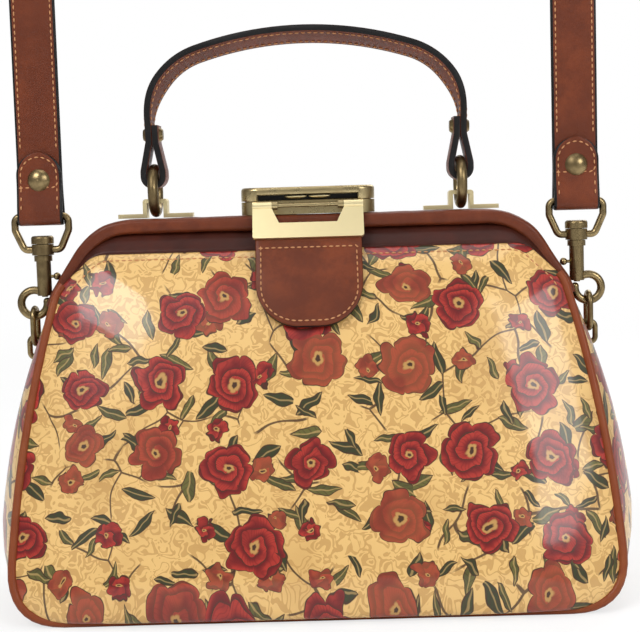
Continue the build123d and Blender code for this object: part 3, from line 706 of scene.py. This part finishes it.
def lowness(s, u, v):
    """1 at the middle of the lower edge, 0 at its corners and from the crown's centre up."""
    return max(0.0, (s.bulge_up - v) / s.bulge_up) * max(0.0, 1 - (2 * u / s.panel_base) ** 6)


def swell(s, u, v, share):
    """Height of the crowned panel over its seam plane, with slight unevenness."""
    power = CROWN_POWER + CROWN_POWER_LOW * lowness(s, u, v) ** 2
    wave = 0.0
    for rate, seed, height in PANEL_WAVES:
        wave += noise.noise(Vector((u * rate, v * rate, seed))) * height
    return s.panel_bulge * (1 - share**power) + wave * (1 - share**3)


def on_panel(s, outline, k, share, raise_by=0.0):
    """Point of the panel on outline ray k, and its flat coordinates.

    The lower edge sags over the piping.
    """
    u, v = outline[k].x * share, s.bulge_up + (outline[k].y - s.bulge_up) * share
    near = max(0.0, (share - SAG_FROM) / (1 - SAG_FROM))
    sag = SAG * lowness(s, u, v) * 4 * near * (1 - near)
    return lean(s, u, v - sag, swell(s, u, v, share) + raise_by), (u, v)


def side_grid(s, indices, rows):
    """Points of the side form, in a column for each outline index.

    The rows go from -1 at the front seam to 1 at the back one. Each column is a smooth curve
    through the seams, the middle plane and the outlines halfway between them.
    """
    seam, middle = bag_outline(s, 0), bag_outline(s, 1)
    halfway = bag_outline(s, HALFWAY_SHARE)
    c, n = cos(PANEL_TILT / 2), sin(PANEL_TILT / 2)
    grid = []
    for index in indices:
        x, up = halfway[index]
        f = lean(s, seam[index].x, seam[index].y, 0)
        q = Vector((x, -s.seam_y / 2 + n * up, HALFWAY_UP + c * up))
        o = Vector((middle[index].x, 0, middle[index].y))
        bend = (16 * (q - o) - (f - o)) / 3
        slope = (8 * q.y - f.y) / 3
        column = []
        for t in rows:
            even = o + bend * t**2 + (f - o - bend) * t**4
            column.append(Vector((even.x, -(slope * t + (f.y - slope) * t**3), even.z)))
        grid.append(column)
    return grid


def dress(node, *mats):
    """Show a CAD node with these materials."""
    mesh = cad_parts[node].data
    mesh.materials.clear()
    for material in mats:
        mesh.materials.append(material)


def cad_copy(node, name, bevel, mats, pick):
    """Softened copy of a CAD node's mesh, its materials picked by each face's normal and place."""
    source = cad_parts[node]
    bm = bmesh.new()
    bm.from_mesh(source.data)
    bm.transform(source.matrix_world)
    bmesh.ops.remove_doubles(bm, verts=bm.verts, dist=MERGE_DISTANCE)
    bmesh.ops.dissolve_limit(bm, angle_limit=MERGE_ANGLE, verts=bm.verts, edges=bm.edges)
    mesh = bpy.data.meshes.new(name)
    bm.to_mesh(mesh)
    bm.free()
    for material in mats:
        mesh.materials.append(material)
    for face in mesh.polygons:
        face.material_index = pick(face.normal, face.center)
        face.use_smooth = True
    obj = add_object(name, mesh)
    modifier = obj.modifiers.new("soft edges", "BEVEL")
    modifier.width = bevel
    modifier.segments = BEVEL_STEPS
    modifier.limit_method = "ANGLE"
    modifier.angle_limit = BEVEL_FROM
    modifier.harden_normals = True
    modifier.material = 0
    return plain(obj)


class SATCHEL_OT_body(bpy.types.Operator):
    """Printed panels, side and base strip, and the piping in the seams"""

    bl_idname = "satchel.body"
    bl_label = "Body"

    def panel(self, context, name, back):
        s = context.scene.satchel_sizes
        m = materials(context)
        outline = bag_outline(s, 0)
        rings = [1 - (1 - k / PANEL_RINGS) ** RING_SPREAD for k in range(PANEL_RINGS, 0, -1)]
        points, flat = [], []
        for share in rings:
            for k in range(len(outline)):
                point, place = on_panel(s, outline, k, share)
                points.append(point)
                flat.append(place)
        faces = quads(len(rings), len(outline), closed=True)
        last = len(points) - len(outline)
        for k in range(len(outline)):
            faces.append((last + k, last + (k + 1) % len(outline), len(points)))
        points.append(lean(s, 0, s.bulge_up, swell(s, 0, s.bulge_up, 0)))
        flat.append((0, s.bulge_up))
        if back:
            points, faces = mirrored(points), turned(faces)
            flat = [(BACK_PRINT_SHIFT - u, v) for u, v in flat]
        obj = new_mesh(name, points, faces, [m["print"], m["lining"]])
        flat_map(obj, flat)
        return shell(obj, s.wall)

    def strip(self, context):
        s = context.scene.satchel_sizes
        m = materials(context)
        rows = [-1 + k / STRIP_HALF_ROWS for k in range(2 * STRIP_HALF_ROWS + 1)]
        grid = side_grid(s, low_range(), rows)
        along = run_lengths([column[STRIP_HALF_ROWS] for column in grid])
        x, y = STRIP_PRINT_SHIFT
        flat = [(x + a, y + b) for a, column in zip(along, grid) for b in run_lengths(column)]
        points = [point for column in grid for point in column]
        faces = quads(len(grid), len(rows))
        obj = new_mesh("side_strip", points, faces, [m["print"], m["lining"]])
        flat_map(obj, flat)
        return shell(obj, s.wall)

    def piping(self, context, name, back):
        s = context.scene.satchel_sizes
        outline = bag_outline(s, 0)
        low = low_range()
        indices = list(range(low[0] - PIPING_OVERRUN, low[0])) + low
        indices += list(range(low[-1] + 1, low[-1] + 1 + PIPING_OVERRUN))
        places = [lean(s, outline[index].x, outline[index].y, 0) for index in indices]
        curve, spline = new_curve(name, "POLY", mirrored(places) if back else places)
        curve.bevel_depth = s.piping / 2
        curve.bevel_resolution = 4
        curve.use_fill_caps = True
        for point, place in zip(spline.points, places):
            point.radius = 1 + PIPING_UNEVEN * noise.noise(place * PIPING_WAVES)
        mesh = curve_mesh(curve)
        mesh.materials.clear()
        mesh.materials.append(materials(context)["piping"])
        mesh.shade_smooth()
        return add_object(name, mesh)

    def execute(self, context):
        front = self.panel(context, "front_print", False)
        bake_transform(front)
        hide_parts("front_panel")
        back = self.panel(context, "back_print", True)
        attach(back, "bag")
        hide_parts("back_panel")
        strip = self.strip(context)
        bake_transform(strip)
        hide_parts("gusset")
        cord = self.piping(context, "front_cord", False)
        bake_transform(cord)
        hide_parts("front_piping")
        cord = self.piping(context, "back_cord", True)
        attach(cord, "bag")
        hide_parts("back_piping")
        dress("base_board", materials(context)["lining"])
        return {"FINISHED"}


class SATCHEL_OT_frame(bpy.types.Operator):
    """Plain bands and rolled covers of the closing frame"""

    bl_idname = "satchel.frame"
    bl_label = "Frame"

    def band(self, context, name, back):
        s = context.scene.satchel_sizes
        m = materials(context)
        rows = [-1 + BAND_REACH * k / BAND_ROWS for k in range(BAND_ROWS + 1)]
        grid = side_grid(s, top_range(), rows)
        points = [point for column in grid for point in column]
        faces = quads(len(grid), len(rows))
        if back:
            points, faces = mirrored(points), turned(faces)
        # The band colour carries painted shade of the recess under the rolled cover
        return shell(new_mesh(name, points, faces, [m["band"], m["lining"]]), s.wall)

    def path(self, s):
        """Middle line of a cover, in the plane of the frame."""
        corner = Vector((-s.frame_top / 2, s.frame_up))
        end = Vector((-s.frame_end / 2, s.frame_end_up))
        end -= (corner - end).normalized() * COVER_OVERHANG
        arm = corner - end
        trim = s.frame_round * tan(arm.angle(Vector((1, 0))) / 2)
        steps = COVER_STEPS
        half = [end.lerp(corner, (k / steps) * (1 - trim / arm.length)) for k in range(steps)]
        a, b = corner - arm.normalized() * trim, corner + Vector((trim, 0))
        half += [rounded(a, corner, b, k / steps) for k in range(steps + 1)]
        reach = -half[-1].x - COVER_TOP_CLEAR
        shares = [2 * k / COVER_TOP_STEPS - 1 for k in range(COVER_TOP_STEPS + 1)]
        places = [COVER_TOP_REACH * share for share in shares]
        top = [Vector((x, s.frame_up)) for x in places if abs(x) < reach]
        return half + top + [Vector((-p.x, p.y)) for p in reversed(half)]

    def cover(self, context, name, back):
        s = context.scene.satchel_sizes
        path = self.path(s)
        points = []
        for k, p in enumerate(path):
            ahead = direction(path, k)
            up = Vector((-ahead.y, ahead.x))
            inward = min(k, len(path) - 1 - k) / COVER_END_STEPS
            end = min(1.0, COVER_END_SHARE + (1 - COVER_END_SHARE) * inward)
            for j in range(COVER_RING):
                c, n = cos(2 * pi * j / COVER_RING), sin(2 * pi * j / COVER_RING)
                a = copysign(abs(c) ** COVER_SQUARE, c) * s.cover_depth / 2 * end
                b = copysign(abs(n) ** COVER_SQUARE, n) * s.cover_height / 2 * end
                place = Vector((p.x + up.x * b, -s.cover_y + a, p.y + up.y * b))
                soft = sum(high * noise.noise(place * rate) for rate, high in COVER_WAVES)
                points.append(place + Vector((up.x * n, c, up.y * n)) * (soft - COVER_SINK))
        faces = tube(len(path), COVER_RING)
        if back:
            points, faces = mirrored(points), turned(faces)
        return new_mesh(name, points, faces, [materials(context)["saddle"]])

    def execute(self, context):
        m = materials(context)
        for side, body, back in (("front", "front_frame", False), ("back", "bag", True)):
            band = self.band(context, side + "_welt_band", back)
            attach(band, body)
            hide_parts(side + "_band")
            cover = self.cover(context, side + "_rolled_cover", back)
            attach(cover, body)
            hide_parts(side + "_frame_cover")
            dress(side + "_frame_bar", m["brass"])
        for node in ("pivot_pin_left", "pivot_pin_right"):
            dress(node, m["brass"])
        return {"FINISHED"}


class SATCHEL_OT_lock(bpy.types.Operator):
    """Lock box, hasp plate and the stitched leather tab"""

    bl_idname = "satchel.lock"
    bl_label = "Lock"

    def lobes(self, context):
        low, high = (Vector(corner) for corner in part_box("lock_spring_clip"))
        centre, half = (low + high) / 2, (high - low) / 2
        points, faces = [], []
        for sign in (-1, 1):
            faces += tube(LOBE_STEPS + 1, LOBE_RING, len(points))
            for k in range(LOBE_STEPS + 1):
                t = -1 + 2 * k / LOBE_STEPS
                fat = max(LOBE_THIN, 1 - abs(t) ** 3) ** 0.5
                x = half.x * (sign / 2 + t * LOBE_SHARE)
                for j in range(LOBE_RING):
                    angle = 2 * pi * j / LOBE_RING
                    y, z = half.y * fat * cos(angle), half.z * fat * sin(angle)
                    points.append(centre + Vector((x, y, z)))
        return new_mesh("clip_lobes", points, faces, [materials(context)["pale"]])

    def execute(self, context):
        m = materials(context)
        for node in ("lock_base", "hasp_pin"):
            dress(node, m["lock"])
        dress("hasp_plate", m["pale"])
        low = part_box("lock_lid")[0]

        # Faces inside the lid's slot get the near-black edge paint as painted shade of the slot's
        # hollow
        def slot_shade(normal, place):
            deep = low[1] + SLOT_FROM < place.y < low[1] + SLOT_TO
            under = place.z < low[2] + SLOT_UP + SLOT_CLEAR
            return int(abs(place.x) < SLOT_HALF and under and deep)

        lid = cad_copy("lock_lid", "lid_shell", LID_BEVEL, [m["lock"], m["edge"]], slot_shade)
        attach(lid, "front_frame")
        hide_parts("lock_lid")
        clip = self.lobes(context)
        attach(clip, "front_frame")
        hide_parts("lock_spring_clip")
        face, down = tab_axes()

        def on_edge(normal, place):
            return int(abs(normal.dot(face)) <= FACE_COSINE)

        mats = [m["saddle"], m["edge"]]
        tab = cad_copy("clasp_tab", "tab_leather", TAB_BEVEL, mats, on_edge)
        top = min(v.co.dot(down) for v in tab.data.vertices)
        for v in tab.data.vertices:
            v.co += down * (v.co.dot(down) - top) * TAB_STRETCH
        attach(tab, "hasp")
        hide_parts("clasp_tab")
        sew(context, "tab_stitches", [tab_row()], "hasp")
        return {"FINISHED"}


def tab_axes():
    """Outward normal of the tab, from its largest front face, and its direction downwards."""
    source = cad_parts["clasp_tab"]
    areas = {}
    for face in source.data.polygons:
        n = (source.matrix_world.to_3x3() @ face.normal).normalized()
        if n.y < 0:
            key = (round(n.x, 2), round(n.y, 2), round(n.z, 2))
            areas[key] = areas.get(key, 0) + face.area
    face = Vector(max(areas, key=areas.get)).normalized()
    along = ACROSS.cross(face).normalized()
    return face, -along if along.z > 0 else along


def tab_row():
    """Closed row of stitch points a little inside the tab's edge."""
    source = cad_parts["clasp_tab"]
    face, down = tab_axes()
    places = [source.matrix_world @ v.co for v in source.data.vertices]
    out = max(p.dot(face) for p in places) + STITCH_LIFT
    high = min(p.dot(down) for p in places)
    low = high + (max(p.dot(down) for p in places) - high) * (1 + TAB_STRETCH)
    side = TAB_INSET - max(p.x for p in places)
    start = low - TAB_INSET - TAB_TURN
    row = [(side, high + TAB_FIRST), (side, start)]
    for k in range(1, TAB_TURN_STEPS + 1):
        angle = pi - k / TAB_TURN_STEPS * pi / 2
        row.append((side + TAB_TURN + TAB_TURN * cos(angle), start + TAB_TURN * sin(angle)))
    row += [(-x, y) for x, y in reversed(row)]
    row.append(row[0])
    return [ACROSS * x + down * y + face * out for x, y in row]


def stitch_group():
    """Stitches set along the edges of a mesh."""
    inputs = {"Geometry": "Geometry", "Pitch": "Float", "Length": "Float"}
    inputs |= {"Width": "Float", "Material": "Material"}
    outputs = {"Geometry": "Geometry"}
    group, t, given, out = new_group("Stitch row", "GeometryNodeTree", inputs, outputs)
    curve = t.wire("GeometryNodeMeshToCurve", 0, {"Mesh": given["Geometry"]})
    pitch = {"Curve": curve, "Length": given["Pitch"]}
    ball = {"Segments": 8, "Rings": 6, "Radius": 1.0}
    thin = given["Width"] * 0.5
    aim = {"Vector": t.wire("GeometryNodeInputTangent", 0)}
    stitches = {
        "Points": t.wire("GeometryNodeResampleCurve", 0, pitch, mode="LENGTH"),
        "Instance": t.wire("GeometryNodeMeshUVSphere", 0, ball),
        "Rotation": t.wire("FunctionNodeAlignRotationToVector", 0, aim, axis="X"),
        "Scale": t.wire("ShaderNodeCombineXYZ", 0, {0: given["Length"] * 0.5, 1: thin, 2: thin}),
    }
    placed = t.wire("GeometryNodeInstanceOnPoints", 0, stitches)
    real = {"Geometry": t.wire("GeometryNodeRealizeInstances", 0, {0: placed})}
    real["Material"] = given["Material"]
    t.put(out["Geometry"], t.wire("GeometryNodeSetMaterial", 0, real))
    return group


def sew(context, name, rows, body=None):
    """Rows of stitches as one plain mesh, which rides on a body if one is given."""
    s = context.scene.satchel_sizes
    points, edges = [], []
    for row in rows:
        start = len(points)
        points += [tuple(p) for p in row]
        edges += [(start + k, start + k + 1) for k in range(len(row) - 1)]
    mesh = bpy.data.meshes.new(name)
    mesh.from_pydata(points, edges, [])
    obj = add_object(name, mesh)
    modifier = obj.modifiers.new("stitches", "NODES")
    modifier.node_group = shared("Stitch row", stitch_group)
    values = {
        "Pitch": s.stitch_pitch,
        "Length": s.stitch_pitch * STITCH_SHARE,
        "Width": s.stitch_width,
        "Material": materials(context)["thread"],
    }
    for item in modifier.node_group.interface.items_tree:
        if item.in_out == "INPUT" and item.name in values:
            modifier[item.identifier] = values[item.name]
    plain(obj)
    obj.data.shade_smooth()
    if body:
        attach(obj, body)
    return obj


def handle_hubs(sign):
    """Centres of the handle's flat upper arc and of one of its corners."""
    hub = Vector((0, 0, HANDLE_TOP_UP - HANDLE_TOP_ROUND))
    return hub, Vector((sign * (HANDLE_RISE_X - HANDLE_CORNER_ROUND), 0, HANDLE_CORNER_UP))


def handle_turn(p):
    """Move of a handle point when the leather above the necks turns its inner face forwards."""
    sign = 1 if p.x > 0 else -1
    hub, corner = handle_hubs(sign)
    place = Vector((p.x, 0, p.z))
    if p.z < HANDLE_CORNER_UP:
        out = ACROSS * sign
    elif (place - hub).angle(UP) > (corner - hub).angle(UP):
        out = (place - corner).normalized()
    else:
        out = (place - hub).normalized()
    share = ease(p.z, HANDLE_TILT_FROM, HANDLE_TILT_TO)
    return out * (-(p.y - HANDLE_Y) * tan(HANDLE_TILT) * share)


def handle_row(lift, across):
    """Stitch row along the handle, lifted off the middle of the leather and set across it."""
    hub, corner = handle_hubs(1)
    meet = (corner - hub).angle(UP)
    half = []
    for k in range(HANDLE_CORNER_STEPS + 1):
        angle = pi / 2 - (pi / 2 - meet) * k / HANDLE_CORNER_STEPS
        half.append(corner + Vector((sin(angle), 0, cos(angle))) * (HANDLE_CORNER_ROUND + lift))
    for k in range(1, HANDLE_TOP_STEPS + 1):
        angle = meet * (1 - k / HANDLE_TOP_STEPS)
        half.append(hub + Vector((sin(angle), 0, cos(angle))) * (HANDLE_TOP_ROUND + lift))
    row = half + [Vector((-p.x, 0, p.z)) for p in reversed(half[:-1])]
    row = [Vector((p.x, HANDLE_Y + across, p.z)) for p in row]
    return [p + handle_turn(p) for p in row]


class SATCHEL_OT_handle(bpy.types.Operator):
    """Handle strap with painted edges, its rivets, rings and brackets"""

    bl_idname = "satchel.handle"
    bl_label = "Handle"

    def execute(self, context):
        m = materials(context)

        def on_edge(normal, place):
            return int(abs(normal.y) > FACE_COSINE)

        mats = [m["saddle"], m["edge"]]
        strap = cad_copy("handle_strap", "handle_leather", HANDLE_BEVEL, mats, on_edge)
        for v in strap.data.vertices:
            v.co += handle_turn(v.co)
        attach(strap, "handle")
        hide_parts("handle_strap")
        lifts = (-HANDLE_STITCH_LIFT, HANDLE_STITCH_LIFT)
        sides = (-HANDLE_STITCH_ACROSS, HANDLE_STITCH_ACROSS)
        rows = [handle_row(lift, across) for lift in lifts for across in sides]
        sew(context, "handle_stitches", rows, "handle")
        for side in ("left", "right"):
            dress("handle_bracket_" + side, m["pale"])
            dress("handle_ring_" + side, m["brass"])
            dress("handle_rivet_" + side, m["brass"])
        return {"FINISHED"}


def spline_points(name, controls):
    """Points along a NURBS spline with control points in metres."""
    curve, spline = new_curve(name, "NURBS", controls)
    spline.order_u = 3
    spline.use_endpoint_u = True
    spline.resolution_u = 14
    return [v.co.copy() for v in curve_mesh(curve).vertices]


def ribbon(name, path, wide_axes, widths, thickness, mats):
    """Flat strap along a path, with crowned faces and painted edges."""
    section = [(-1, -0.55), (-0.97, -0.9), (-0.90, -1), (-0.4, -1)]
    section += [(-x, y) for x, y in reversed(section)]
    section += [(-x, -y) for x, y in section]
    points = []
    for k, place in enumerate(path):
        ahead = direction(path, k)
        wide = (wide_axes[k] - ahead * wide_axes[k].dot(ahead)).normalized()
        out = ahead.cross(wide).normalized()
        for x, y in section:
            points.append(place + wide * (x * widths[k] / 2) + out * (y * thickness / 2))
    count = len(section)
    obj = new_mesh(name, points, tube(len(path), count), mats)
    flat_faces = (2, 3, 4)
    kinds = [0 if j % (count // 2) in flat_faces else 1 for j in range(count)] * (len(path) - 1)
    obj.data.polygons.foreach_set("material_index", kinds + [1, 1])
    return obj


class SATCHEL_OT_strap(bpy.types.Operator):
    """Shoulder strap along its route, with the folded and riveted ends"""

    bl_idname = "satchel.strap"
    bl_label = "Shoulder strap"

    def fold(self, s, sign, side, mats):
        """End of the strap, folded round its loop, with a round tip in front."""
        x, y, half = sign * s.strap_x, s.strap_y, s.strap_width / 2
        front = [(-y, FOLD_TIP), (-y, FOLD_BEND), (-y, FOLD_NECK)]
        front += [(-FOLD_HALF, FOLD_MID), (-FOLD_HALF, FOLD_LOW)]
        behind = [(FOLD_HALF, FOLD_LOW), (FOLD_HALF, FOLD_MID), (y, FOLD_NECK), (y, FOLD_END)]
        around = spline_points("fold_route", [(x, a, b) for a, b in front + behind])
        steps = FOLD_TIP_STEPS
        tip = [Vector((x, -y, FOLD_TIP - half * (k / steps) ** 2)) for k in range(steps + 1)]
        widths = []
        for p in tip:
            share = max(FOLD_TIP_THIN, 1 - ((half - min(FOLD_TIP - p.z, half)) / half) ** 2)
            widths.append(s.strap_width * share**0.5)
        past = half * FOLD_TIP_CLEAR
        rest = [p for p, gone in zip(around, run_lengths(around)) if gone > past]
        widths += [s.strap_width] * len(rest)
        path = tip + rest
        return ribbon("strap_fold_" + side, path, [ACROSS] * len(path), widths, s.strap_thick, mats)

    def rows(self, s, sign):
        """Stitch rows of one end: round the tip, down the fold and up the strap."""
        x, half = sign * s.strap_x, s.strap_width / 2
        side = half - STRAP_STITCH_INSET
        skin = s.strap_thick / 2 + STITCH_LIFT
        front, face = -s.strap_y - skin, s.strap_y - skin
        tip, low = FOLD_TIP - half, STRAP_STITCH_LOW
        row = [Vector((x - side, front, low)), Vector((x - side, front, tip))]
        for k in range(1, STRAP_STITCH_STEPS):
            angle = pi - pi * k / STRAP_STITCH_STEPS
            row.append(Vector((x + side * cos(angle), front, tip + side * sin(angle))))
        row += [Vector((x + side, front, z)) for z in (tip, low)] + [row[0]]
        rows = [row]
        tail = -TAIL_OUT - s.strap_thick / 2
        for a in (x - side, x + side):
            rows.append([Vector((a, front, TAIL_HIGH)), Vector((a, tail, TAIL_LOW))])
        for a in (x - side, x + side):
            rows.append([Vector((a, face, z)) for z in (EDGE_STITCH_LOW, EDGE_STITCH_HIGH)])
        return rows

    def execute(self, context):
        s = context.scene.satchel_sizes
        m = materials(context)
        mats = [m["saddle"], m["edge"]]
        right = [
            (0.155, 0.240),
            (0.155, 0.300),
            (0.155, 0.380),
            (0.155, 0.450),
            (0.133, 0.490),
            (0.095, 0.513),
            (0.050, 0.523),
        ]
        route = [(x, s.strap_y, z) for x, z in right]
        route += [(-x, s.strap_y, z) for x, z in reversed(right)]
        path = spline_points("strap_route", route)
        axes = []
        for p in path:
            turn = ease(p.z, STRAP_TURN_FROM, STRAP_TURN_TO) * pi / 2
            axes.append(Vector((copysign(cos(turn), p.x), sin(turn), 0)))
        widths = [s.strap_width] * len(path)
        strap = ribbon("strap_leather", path, axes, widths, s.strap_thick, mats)
        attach(strap, "bag")
        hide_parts("shoulder_strap")
        for sign, side in ((1, "right"), (-1, "left")):
            fold = self.fold(s, sign, side, mats)
            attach(fold, "bag")
            sew(context, "strap_stitches_" + side, self.rows(s, sign), "bag")
            for node in ("strap_rivet_", "strap_loop_"):
                dress(node + side, m["brass"])
        run_lengths(path)[-1]
        return {"FINISHED"}


class SATCHEL_OT_clips(bpy.types.Operator):
    """Swivel clips, links and staples at the sides"""

    bl_idname = "satchel.clips"
    bl_label = "Clips"

    def execute(self, context):
        m = materials(context)
        for side in ("left", "right"):
            for node in ("snap_hook_", "snap_bolt_", "side_link_", "side_staple_"):
                dress(node + side, m["brass"])
        return {"FINISHED"}


class SATCHEL_OT_stitches(bpy.types.Operator):
    """Stitch rows along the upper edges of the panels"""

    bl_idname = "satchel.stitches"
    bl_label = "Panel stitches"

    def execute(self, context):
        s = context.scene.satchel_sizes
        outline = bag_outline(s, 0)
        row = [on_panel(s, outline, k, PANEL_STITCH_SHARE, STITCH_LIFT)[0] for k in top_range()]
        front = sew(context, "front_stitches", [row])
        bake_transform(front)
        sew(context, "back_stitches", [mirrored(row)], "bag")
        return {"FINISHED"}


class SATCHEL_OT_stage(bpy.types.Operator):
    """Floor, backdrop, lights and camera"""

    bl_idname = "satchel.stage"
    bl_label = "Stage"

    def floor(self, context):
        """Floor that rises to a backdrop, whiter to the camera further away."""
        material, t, shader = new_material("Stage")
        t.put(shader.inputs["Base Color"], context.scene.satchel_colours.floor)
        t.put(shader.inputs["Roughness"], 0.9)
        ray = t.wire("ShaderNodeLightPath", "Is Camera Ray")
        white = t.wire("ShaderNodeEmission", 0, {"Color": (1, 1, 1), "Strength": 1.0})
        far = t.wire("ShaderNodeVectorMath", "Value", {0: t.place()}, operation="LENGTH")
        share = ray * (0.70 + t.over(far, 0.5, 1.8) * 0.30)
        mixed = t.wire("ShaderNodeMixShader", 0, {0: share, 1: shader.outputs[0], 2: white})
        t.put(t.tree.nodes["Material Output"].inputs["Surface"], mixed)
        profile = [(-4.0, 0.0), (1.4, 0.0), (1.75, 0.05), (2.0, 0.25), (2.1, 0.6), (2.1, 4.0)]
        points = [(x, y, z) for y, z in profile for x in (-5, 5)]
        new_mesh("floor", points, quads(len(profile), 2), [material])

    def world(self, context):
        """Even light, white to the camera."""
        world = bpy.data.worlds.new("Studio")
        context.scene.world = world
        world.use_nodes = True
        t = Tree(world.node_tree)
        seen = t.wire("ShaderNodeLightPath", "Is Camera Ray")
        background = world.node_tree.nodes["Background"].inputs
        t.put(background["Color"], (1, 1, 1))
        t.put(background["Strength"], 0.30 + seen * 0.70)

    def lights(self):
        """Area lights by name, place, size and power."""
        lights = (
            ("key", (-0.9, -1.3, 1.5), 0.9, 24),
            ("fill", (1.0, -1.2, 0.9), 0.7, 11),
            ("top", (0.1, 0.2, 1.7), 1.2, 11),
            ("back", (0.7, 1.3, 1.3), 1.0, 10),
        )
        for name, place, size, power in lights:
            data = bpy.data.lights.new(name, "AREA")
            data.size = size
            data.energy = power
            lamp = add_object(name, data)
            aim = (Vector(LIGHT_TARGET) - Vector(place)).to_track_quat("-Z", "Y")
            lamp.matrix_world = Matrix.Translation(place) @ aim.to_matrix().to_4x4()
            lamp.visible_camera = False

    def camera(self, context):
        data = bpy.data.cameras.new("camera")
        data.sensor_width = SENSOR
        data.lens = FOCAL_PIXELS * SENSOR / WIDTH_PIXELS
        camera = add_object("camera", data)
        level = cos(CAMERA_PITCH)
        ahead = Vector((sin(CAMERA_YAW) * level, cos(CAMERA_YAW) * level, sin(CAMERA_PITCH)))
        right = ahead.cross(UP).normalized()
        up = right.cross(ahead)
        side = right * cos(CAMERA_ROLL) + up * sin(CAMERA_ROLL)
        rise = up * cos(CAMERA_ROLL) - right * sin(CAMERA_ROLL)
        turn = Matrix((side, rise, -ahead)).transposed().to_4x4()
        camera.matrix_world = Matrix.Translation(CAMERA_PLACE) @ turn
        context.scene.camera = camera

    def execute(self, context):
        self.floor(context)
        self.world(context)
        self.lights()
        self.camera(context)
        context.scene.view_settings.view_transform = "Standard"
        return {"FINISHED"}


class SATCHEL_PT_panel(bpy.types.Panel):
    """Sidebar panel with one button per group of pieces"""

    bl_idname = "SATCHEL_PT_panel"
    bl_label = "Satchel"
    bl_space_type = "VIEW_3D"
    bl_region_type = "UI"
    bl_category = "Satchel"

    def draw(self, context):
        for operator in OPERATORS:
            self.layout.operator(operator.bl_idname)


OPERATORS = (
    SATCHEL_OT_body,
    SATCHEL_OT_frame,
    SATCHEL_OT_lock,
    SATCHEL_OT_handle,
    SATCHEL_OT_strap,
    SATCHEL_OT_clips,
    SATCHEL_OT_stitches,
    SATCHEL_OT_stage,
)
CLASSES = (SatchelSizes, SatchelColours) + OPERATORS + (SATCHEL_PT_panel,)


def register():
    for cls in CLASSES:
        bpy.utils.register_class(cls)
    bpy.types.Scene.satchel_sizes = PointerProperty(type=SatchelSizes)
    bpy.types.Scene.satchel_colours = PointerProperty(type=SatchelColours)


def unregister():
    del bpy.types.Scene.satchel_colours
    del bpy.types.Scene.satchel_sizes
    for cls in reversed(CLASSES):
        bpy.utils.unregister_class(cls)


def main():
    register()
    for operator in OPERATORS:
        group, name = operator.bl_idname.split(".")
        getattr(getattr(bpy.ops, group), name)()


if __name__ == "__main__":
    main()
